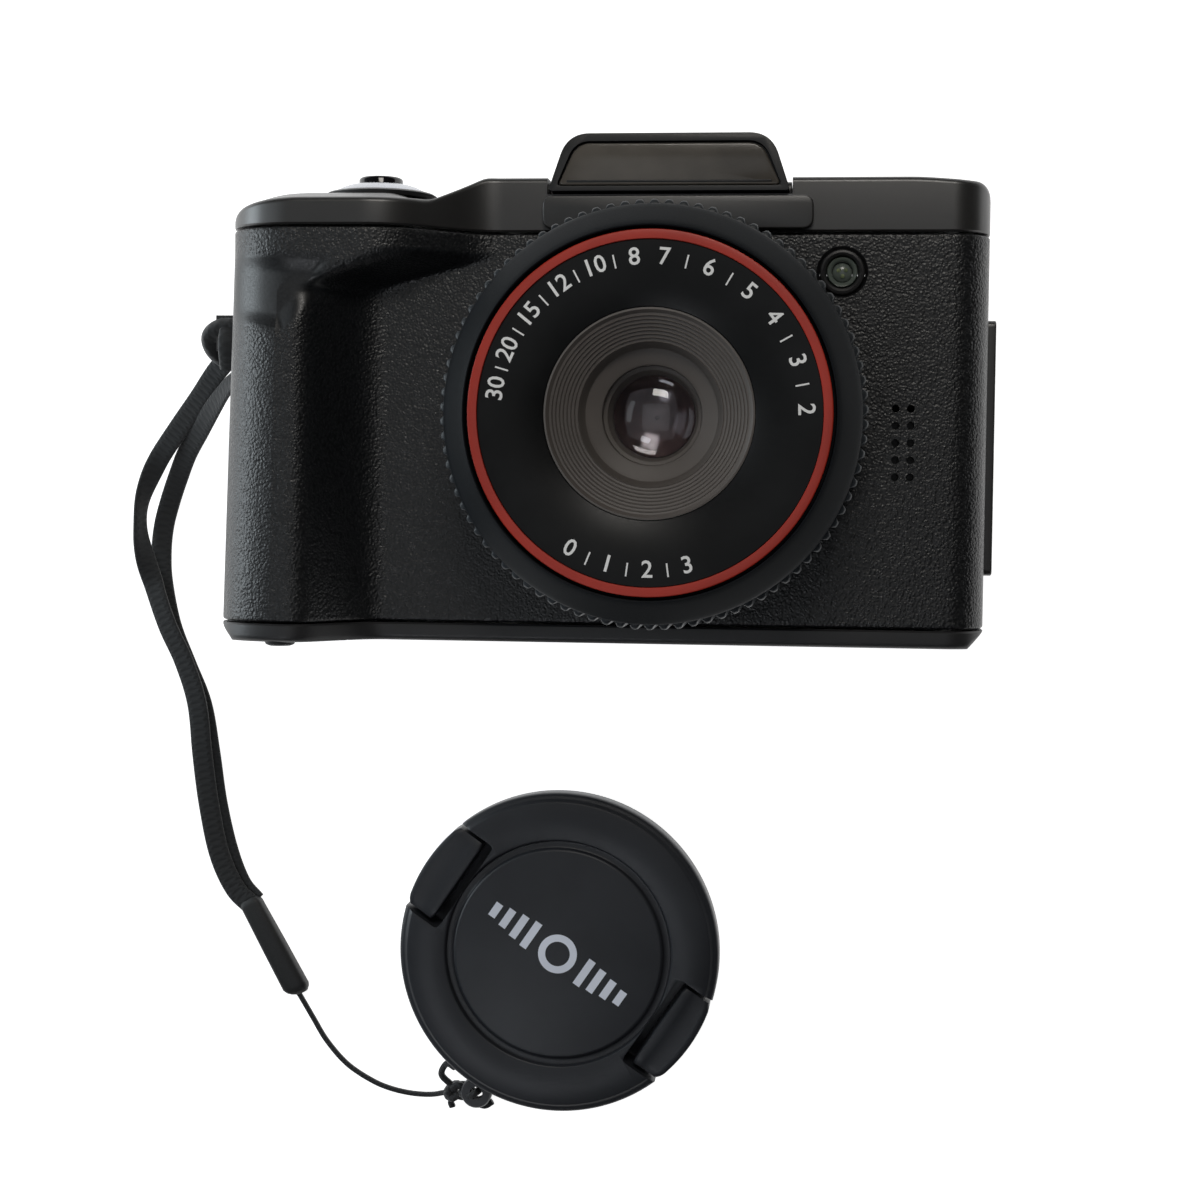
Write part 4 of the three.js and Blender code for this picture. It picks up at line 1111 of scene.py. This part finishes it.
def lamp():
    low, high = local_box("led_bezel")
    middle = (low + high) / 2
    at = (middle.x, middle.y, 0)
    bezel = [(2.2, 25), (3.15, 25), (3.15, 27.5), (3.0, 27.75), (2.7, 27.85), (2.4, 27.7), (2.25, 27.3),
             (2.2, 26.4)]
    dress(shade(lathe("lamp_bezel", bezel, at, 64), 40), "base", nodes=["led_bezel"])
    rim = [(1.45, 25.8), (2.15, 25.8), (2.15, 27.1), (2.0, 27.3), (1.7, 27.2), (1.45, 26.9)]
    dress(shade(lathe("lamp_rim", rim, at, 64), 40), "lamp", nodes=["led_lamp"])
    dome = [(0, 25.2), (1.4, 25.2), (1.4, 26.3)] + [(1.4 * math.cos(a), 26.3 + 0.8 * math.sin(a))
                                                    for a in spread(0, math.pi / 2, 10)]
    dress(shade(lathe("lamp_dome", dome, at, 48, closed=False), 40), "lamp")
    for i in range(3):
        turn = math.radians(35 + 120 * i)
        spot = (middle.x + 0.55 * math.cos(turn), middle.y + 0.55 * math.sin(turn))
        chip = prism(f"lamp_die_{i}", circle(*spot, 0.3, 16), 26.5, 27.12)
        dress(soften(chip, 0.08, 2), "chip")


# ---- Lens --------------------------------------------------------------------------------------
LENS_AT = (LENS_AXIS.x, LENS_AXIS.y, 0)
TEETH = 90
RING_RADIUS = 28.6


def lens_barrel():
    profile = [(21, 20), (24.0, 20), (24.0, 27.8), (26.6, 27.8), (26.8, 28), (26.8, 30.8), (24.3, 31),
               (24.3, 50.2), (14.2, 50.2), (14.2, 48), (21, 48)]
    dress(shade(lathe("barrel", profile, LENS_AT, 160), 40), "ring", nodes=["lens_barrel"])


def knurled_ring():
    """Half-round ribs round the outside, then a smooth collar that slopes up to a rolled front lip."""
    valley, core = RING_RADIUS - 0.75, RING_RADIUS - 0.85
    outside = [(31.3, core - 0.5, 0), (31.3, valley - 0.2, 0), (31.6, valley, 0.6), (32.2, valley, 1),
               (45.7, valley, 1), (46.05, valley, 0.9), (46.3, valley, 0.6), (46.4, valley, 0.02),
               (46.5, valley, 0), (46.5, core - 0.5, 0)]
    steps = TEETH * 10
    rows = []
    for z, radius, rise in outside:
        row = []
        for i in range(steps):
            a = 2 * math.pi * i / steps
            rib = smooth_step(0.25, 0.95, abs(math.sin(TEETH * a / 2)))
            r = radius + (RING_RADIUS - valley) * rise * rib
            row.append((LENS_AT[0] + r * math.cos(a), LENS_AT[1] + r * math.sin(a), z))
        rows.append(row)
    rows.append(rows[0])
    ribs = loft("focus_ribs", rows, capped=False)
    # The ribs take the lighter ribs look, a painted highlight; the collar below keeps the darker ring look of
    # the same part.
    dress(shade(ribs, 40), "ribs", "focus_ring", ["knurled_ring"])
    profile = [(24.4, 31.3), (core, 31.3), (core, 46.3), (valley, 46.5), (27.8, 47.6), (27.6, 48.0),
               (27.2, 48.6), (26.6, 49.4), (25.95, 50.3), (25.3, 51.1), (24.9, 51.6), (24.6, 51.85),
               (24.45, 51.8), (24.4, 51.5)]
    dress(shade(lathe("focus_collar", profile, LENS_AT, 256), 40), "ring", "focus_ring")


def red_ring():
    profile = [(22.7, 50.2), (23.95, 50.2), (23.95, 51.6), (23.88, 51.68), (23.8, 51.7), (22.85, 51.7),
               (22.75, 51.68), (22.7, 51.6)]
    dress(shade(lathe("red_band", profile, LENS_AT, 192), 40), "red", nodes=["red_ring"])


def lens_face():
    profile = [(13.9, 50.4), (22.7, 50.4), (22.7, 51.3), (22.6, 51.4), (14.1, 51.4), (13.9, 51.25)]
    dress(shade(lathe("face_disc", profile, LENS_AT, 192), 40), "face", nodes=["lens_face"])


def baffle():
    """Fine steps down the outer part, then two smooth rings towards the front glass."""
    profile = [(13.9, 42.6), (13.85, 51.35), (13.6, 51.4), (13.4, 51.2)]
    ribs, rim, neck = 8, 13.3, 9.6
    for i in range(ribs):
        outer = mix(rim, neck, i / ribs)
        inner = mix(rim, neck, (i + 1) / ribs)
        z = 51.05 - i * 0.3
        profile += [(outer, z), (outer - 0.12, z - 0.16), (inner + 0.1, z - 0.24), (inner, z - 0.16)]
    profile += [(9.3, 48.3), (9.1, 47.4), (8.8, 46.9), (8.4, 46.7), (7.0, 46.2), (6.7, 46.0), (6.6, 45.6),
                (6.6, 42.6)]
    dress(shade(lathe("baffle", profile, LENS_AT, 192), 28), "cone", nodes=["baffle_cone"])


def lens_holder():
    profile = [(4.6, 24.2), (7.4, 24.2), (7.4, 44.2), (7.2, 44.5), (6.6, 44.5), (6.1, 44.2), (6.0, 43.4),
               (5.7, 43.0), (5.6, 40.0), (4.6, 40.0)]
    dress(shade(lathe("glass_holder", profile, LENS_AT, 128), 40), "cone", nodes=["lens_holder"])


def spherical_cap(radius, low, crown, steps=14):
    return [(radius * math.cos(a), low + crown * math.sin(a)) for a in spread(0, math.pi / 2, steps)]


def front_glass():
    profile = [(0, 40.2), (5.55, 40.2)] + spherical_cap(5.55, 41.4, 2.4)
    dress(shade(lathe("front_glass", profile, LENS_AT, 128, closed=False), 50), "glass", nodes=["front_lens"])
    inner = [(0, 36.4)]
    inner += [(4.6 * share, 38.6 - 1.5 * (1 - share ** 2)) for share in (0.05, 0.3, 0.6, 0.8, 1.0)]
    inner += [(4.6, 36.0), (0, 36.0)]
    dress(shade(lathe("inner_glass", inner, LENS_AT, 96, closed=False), 50), "coat")


# ---- Lens scale: numerals and strokes on the black face ----------------------------------------
def face_mark(name, text, angle, radius, size, upright=False):
    """One numeral printed on the face. Its foot points to the axis, or away from it if upright."""
    data = bpy.data.curves.new(name, "FONT")
    data.body = text
    data.size = size
    data.align_x = "CENTER"
    data.align_y = "CENTER"
    data.extrude = 0.03
    data.offset = 0.035
    data.resolution_u = 3
    letters = bpy.data.objects.new(name, data)
    bpy.context.scene.collection.objects.link(letters)
    turn = math.radians(angle + 90 if upright else angle - 90)
    a = math.radians(angle)
    spot = ORIGIN + Vector((LENS_AT[0] + radius * math.cos(a), LENS_AT[1] + radius * math.sin(a), 51.42))
    graph = bpy.context.evaluated_depsgraph_get()
    graph.update()
    mesh = bpy.data.meshes.new_from_object(letters.evaluated_get(graph))
    mesh.transform(Matrix.Scale(MM, 4) @ Matrix.Translation(spot) @ Matrix.Rotation(turn, 4, "Z"))
    bpy.data.objects.remove(letters)
    piece = bpy.data.objects.new(name, mesh)
    bpy.context.scene.collection.objects.link(piece)
    return piece


SCALES = [
    {"first": 171, "last": 96, "marks": "30 | 20 | 15 | 12 | 10 | 8", "upright": False},
    {"first": 85, "last": 51, "marks": "7 | 6 | 5", "upright": False},
    {"first": 38, "last": 2, "marks": "4 | 3 | 2", "upright": False},
    {"first": 240, "last": 285, "marks": "0 | 1 | 2 | 3", "upright": True},
]


def lens_scale():
    for i, scale in enumerate(SCALES):
        marks = scale["marks"].split()
        for k, mark in enumerate(marks):
            angle = mix(scale["first"], scale["last"], k / (len(marks) - 1))
            size = 1.9 if mark == "|" else 3.2
            piece = face_mark(f"scale_{i}_{k}", mark, angle, 20.4, size, scale["upright"])
            dress(piece, "numerals")


# ---- Cap ---------------------------------------------------------------------------------------
CAP_AT = (CAP_AXIS.x, CAP_AXIS.y, 0)
CAP_RADIUS = 24.7
CAP_HEIGHT = 8.0
TAB_INNER = 18.8
TAB_HALF = 7.1


def cap_point(along, across):
    """A point on the cap: along runs through both tabs, across is square to it."""
    c, s = math.cos(CAP_ANGLE), math.sin(CAP_ANGLE)
    return (CAP_AT[0] + along * c - across * s, CAP_AT[1] + along * s + across * c)


def cap_body():
    top = CAP_HEIGHT
    profile = [(0, 5.2), (16.9, 5.2), (16.9, 0.2), (17.1, 0), (23.7, 0), (23.9, 0.2), (23.9, 3.1),
               (24.5, 3.5),
               (24.7, 3.8), (24.7, 6.6), (24.62, 7.0), (24.4, 7.3), (24.0, 7.42), (23.75, 7.5), (23.5, 7.85),
               (23.2, top), (17.75, top), (17.5, top - 0.1), (17.35, top - 0.4), (17.25, top - 0.8),
               (16.5, top - 0.8), (16.3, top - 0.7), (16.15, top - 0.3), (16.0, top - 0.12),
               (15.7, top - 0.06),
               (0, top - 0.1)]
    body = lathe("cap_shell", profile, CAP_AT, 192, closed=False)
    slots = []
    for side in (1, -1):
        corners = [(TAB_INNER - 1.5, -TAB_HALF - 0.7), (30, -TAB_HALF - 0.7), (30, TAB_HALF + 0.7),
                   (TAB_INNER - 1.5, TAB_HALF + 0.7)]
        outline = rounded([(*cap_point(side * a, side * b), 0.9 if a < 20 else 0) for a, b in corners])
        slots.append(prism(f"tab_slot_{side}", outline, 1.5, 12))
    combine(body, slots)
    eyelet = [(1.0, 3.4), (2.2, 3.4), (2.4, 3.7), (2.4, 5.1), (2.2, 5.4), (1.0, 5.4)]
    angle = CAP_ANGLE + math.radians(-85.4)
    spot = (CAP_AT[0] + 26.2 * math.cos(angle), CAP_AT[1] + 26.2 * math.sin(angle), 0)
    dress(shade(lathe("cap_eyelet", eyelet, spot, 40), 40), "cap")
    dress(soften(body, 0.18, 2, 40), "cap", nodes=["cap_body"])


def cap_tab(name, node, body, side):
    """A squeeze tab: a block whose outer side follows the cap's rim, dished on top."""
    rows = []
    for i in range(25):
        across = mix(-TAB_HALF, TAB_HALF, i / 24)
        outer = math.sqrt(CAP_RADIUS ** 2 - across ** 2) - 0.05
        ends = min(i, 24 - i)
        drop = 0.35 if ends == 0 else 0.1 if ends == 1 else 0.0
        row = []
        for share, height in ((0, 1.9), (0, 7.3 - drop), (0.03, 7.6 - drop), (0.08, 7.7 - drop),
                              (0.3, 7.35 - drop / 2), (0.55, 7.2 - drop / 2), (0.8, 7.25 - drop / 2),
                              (0.93, 7.3 - drop), (0.985, 7.1 - drop), (1, 6.7 - drop), (1, 1.9)):
            x, y = cap_point(side * mix(TAB_INNER + drop * 0.6, outer - drop, share), side * across)
            row.append((x, y, height))
        rows.append(row)
    tab = loft(name, rows)
    dress(shade(tab, 40), "cap", body, [node])


def cap_mark():
    """A plain mark where a maker would print a word: a ring between two groups of bars."""
    ring = lathe("mark_ring", [(1.9, 7.9), (3.0, 7.9), (3.0, 7.96), (1.9, 7.96)], CAP_AT, 64)
    dress(ring, "mark")
    for side in (1, -1):
        for k, half in enumerate((2.3, 2.0, 1.6, 1.2)):
            start = side * (4.4 + 2.2 * k)
            corners = [(start, -half), (start + side * 1.2, -half), (start + side * 1.2, half), (start, half)]
            outline = [cap_point(a, b) for a, b in corners]
            dress(prism(f"mark_bar_{side}_{k}", outline, 7.9, 7.96), "mark")


# ---- Back and small parts ----------------------------------------------------------------------
def rear_buttons():
    bodies = {"zoom_rocker": "rocker", "menu_button": "menu", "play_button": "play", "four_way_pad": "pad"}
    for name, (x, y, half_x, half_y, radius) in REAR_BUTTONS.items():
        outline = rounded_box(x - half_x, x + half_x, y - half_y, y + half_y, radius, 14)
        key = prism(name + "_key", outline, 0.4, 4)
        if name == "four_way_pad":
            combine(key, [prism("ok_hole", circle(x, y, 4.1, 48), -1, 5)])
        dress(soften(key, 0.4, 4, 40), "gloss", bodies[name], [name])
    x, y = REAR_BUTTONS["four_way_pad"][:2]
    profile = [(0, 0.45), (3.2, 0.35), (3.6, 0.6), (3.7, 0.9), (3.7, 4), (0, 4)]
    key = lathe("ok_key", profile, (x, y, 0), 64, closed=False)
    dress(shade(key, 40), "gloss", "ok", ["ok_button"])


def screen():
    low, high = local_box("screen_frame")
    frame_outline = rounded_box(low.x, high.x, low.y, high.y, 2)
    bezel = prism("screen_bezel", frame_outline, 0, 2.6)
    opening = rounded_box(low.x + 1.4, high.x - 1.4, low.y + 1.4, high.y - 1.4, 1.2)
    combine(bezel, [prism("bezel_hole", opening, -1, 4)])
    dress(soften(bezel, 0.3, 3, 40), "gloss", nodes=["screen_frame"])
    pane = prism("screen_pane", rounded_box(low.x + 1.6, high.x - 1.6, low.y + 1.6, high.y - 1.6, 1), 0.35, 2)
    dress(soften(pane, 0.15, 2), "face", nodes=["screen_window"])


def feet_and_screws():
    for name in ("foot_1", "foot_2"):
        low, high = local_box(name)
        middle = (low + high) / 2
        profile = [(0, low.y + 0.05), (1.5, low.y), (2.0, low.y + 0.2), (2.2, low.y + 0.6), (2.2, high.y),
                   (0, high.y)]
        pad = lathe(name + "_pad", profile, (middle.x, 0, middle.z), 48, "y", False)
        dress(shade(pad, 40), "rubber", nodes=[name])


front_shell()
top_cover()
base_plate()
rear_shell()
side_door()
hump_fascia()
flash_head()
shutter_release()
power_button()
lamp()
lens_barrel()
knurled_ring()
red_ring()
lens_face()
baffle()
lens_holder()
front_glass()
lens_scale()
cap_body()
cap_tab("tab_lower", "cap_tab_1", "tab_1", 1)
cap_tab("tab_upper", "cap_tab_2", "tab_2", -1)
cap_mark()
rear_buttons()
screen()
feet_and_screws()


# ---- Finishing ---------------------------------------------------------------------------------
CAD_LOOKS = {
    "board": ["main_board", "sensor_board"],
    "brass": ["tripod_nut", "battery_contact"],
    "steel": ["flash_hinge_pin", "flash_spring", "usb_socket", "card_slot", "base_screw_1", "base_screw_2",
              "base_screw_3", "base_screw_4"],
    "silver": ["shutter_collar", "flash_reflector", "power_button"],
    "sleeve": ["battery"],
    "rubber": ["foot_1", "foot_2", "strap_sleeve", "tether_knot"],
    "glass": ["front_lens", "rear_lens"],
    "clear": ["led_lamp", "flash_tube"],
    "gloss": ["shutter_button", "ok_button", "screen_frame", "screen_window", "zoom_rocker", "menu_button",
              "play_button", "four_way_pad"],
    "cover": ["rear_shell", "top_cover", "hump_fascia", "flash_head", "side_door"],
    "window": ["flash_window"],
    "grain": ["front_shell"],
    "ring": ["lens_barrel", "knurled_ring", "lens_holder"],
    "red": ["red_ring"],
    "face": ["lens_face"],
    "cone": ["baffle_cone"],
    "cap": ["cap_body", "cap_tab_1", "cap_tab_2"],
    "base": ["base_plate", "battery_door", "battery_bay", "shutter_switch", "screen_module", "led_bezel",
             "speaker", "image_sensor", "strap_lug"],
}


def dress_cad_nodes():
    for look, names in CAD_LOOKS.items():
        for name in names:
            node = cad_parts[name]
            node.data.materials.clear()
            node.data.materials.append(LOOKS[look])


dress_cad_nodes()
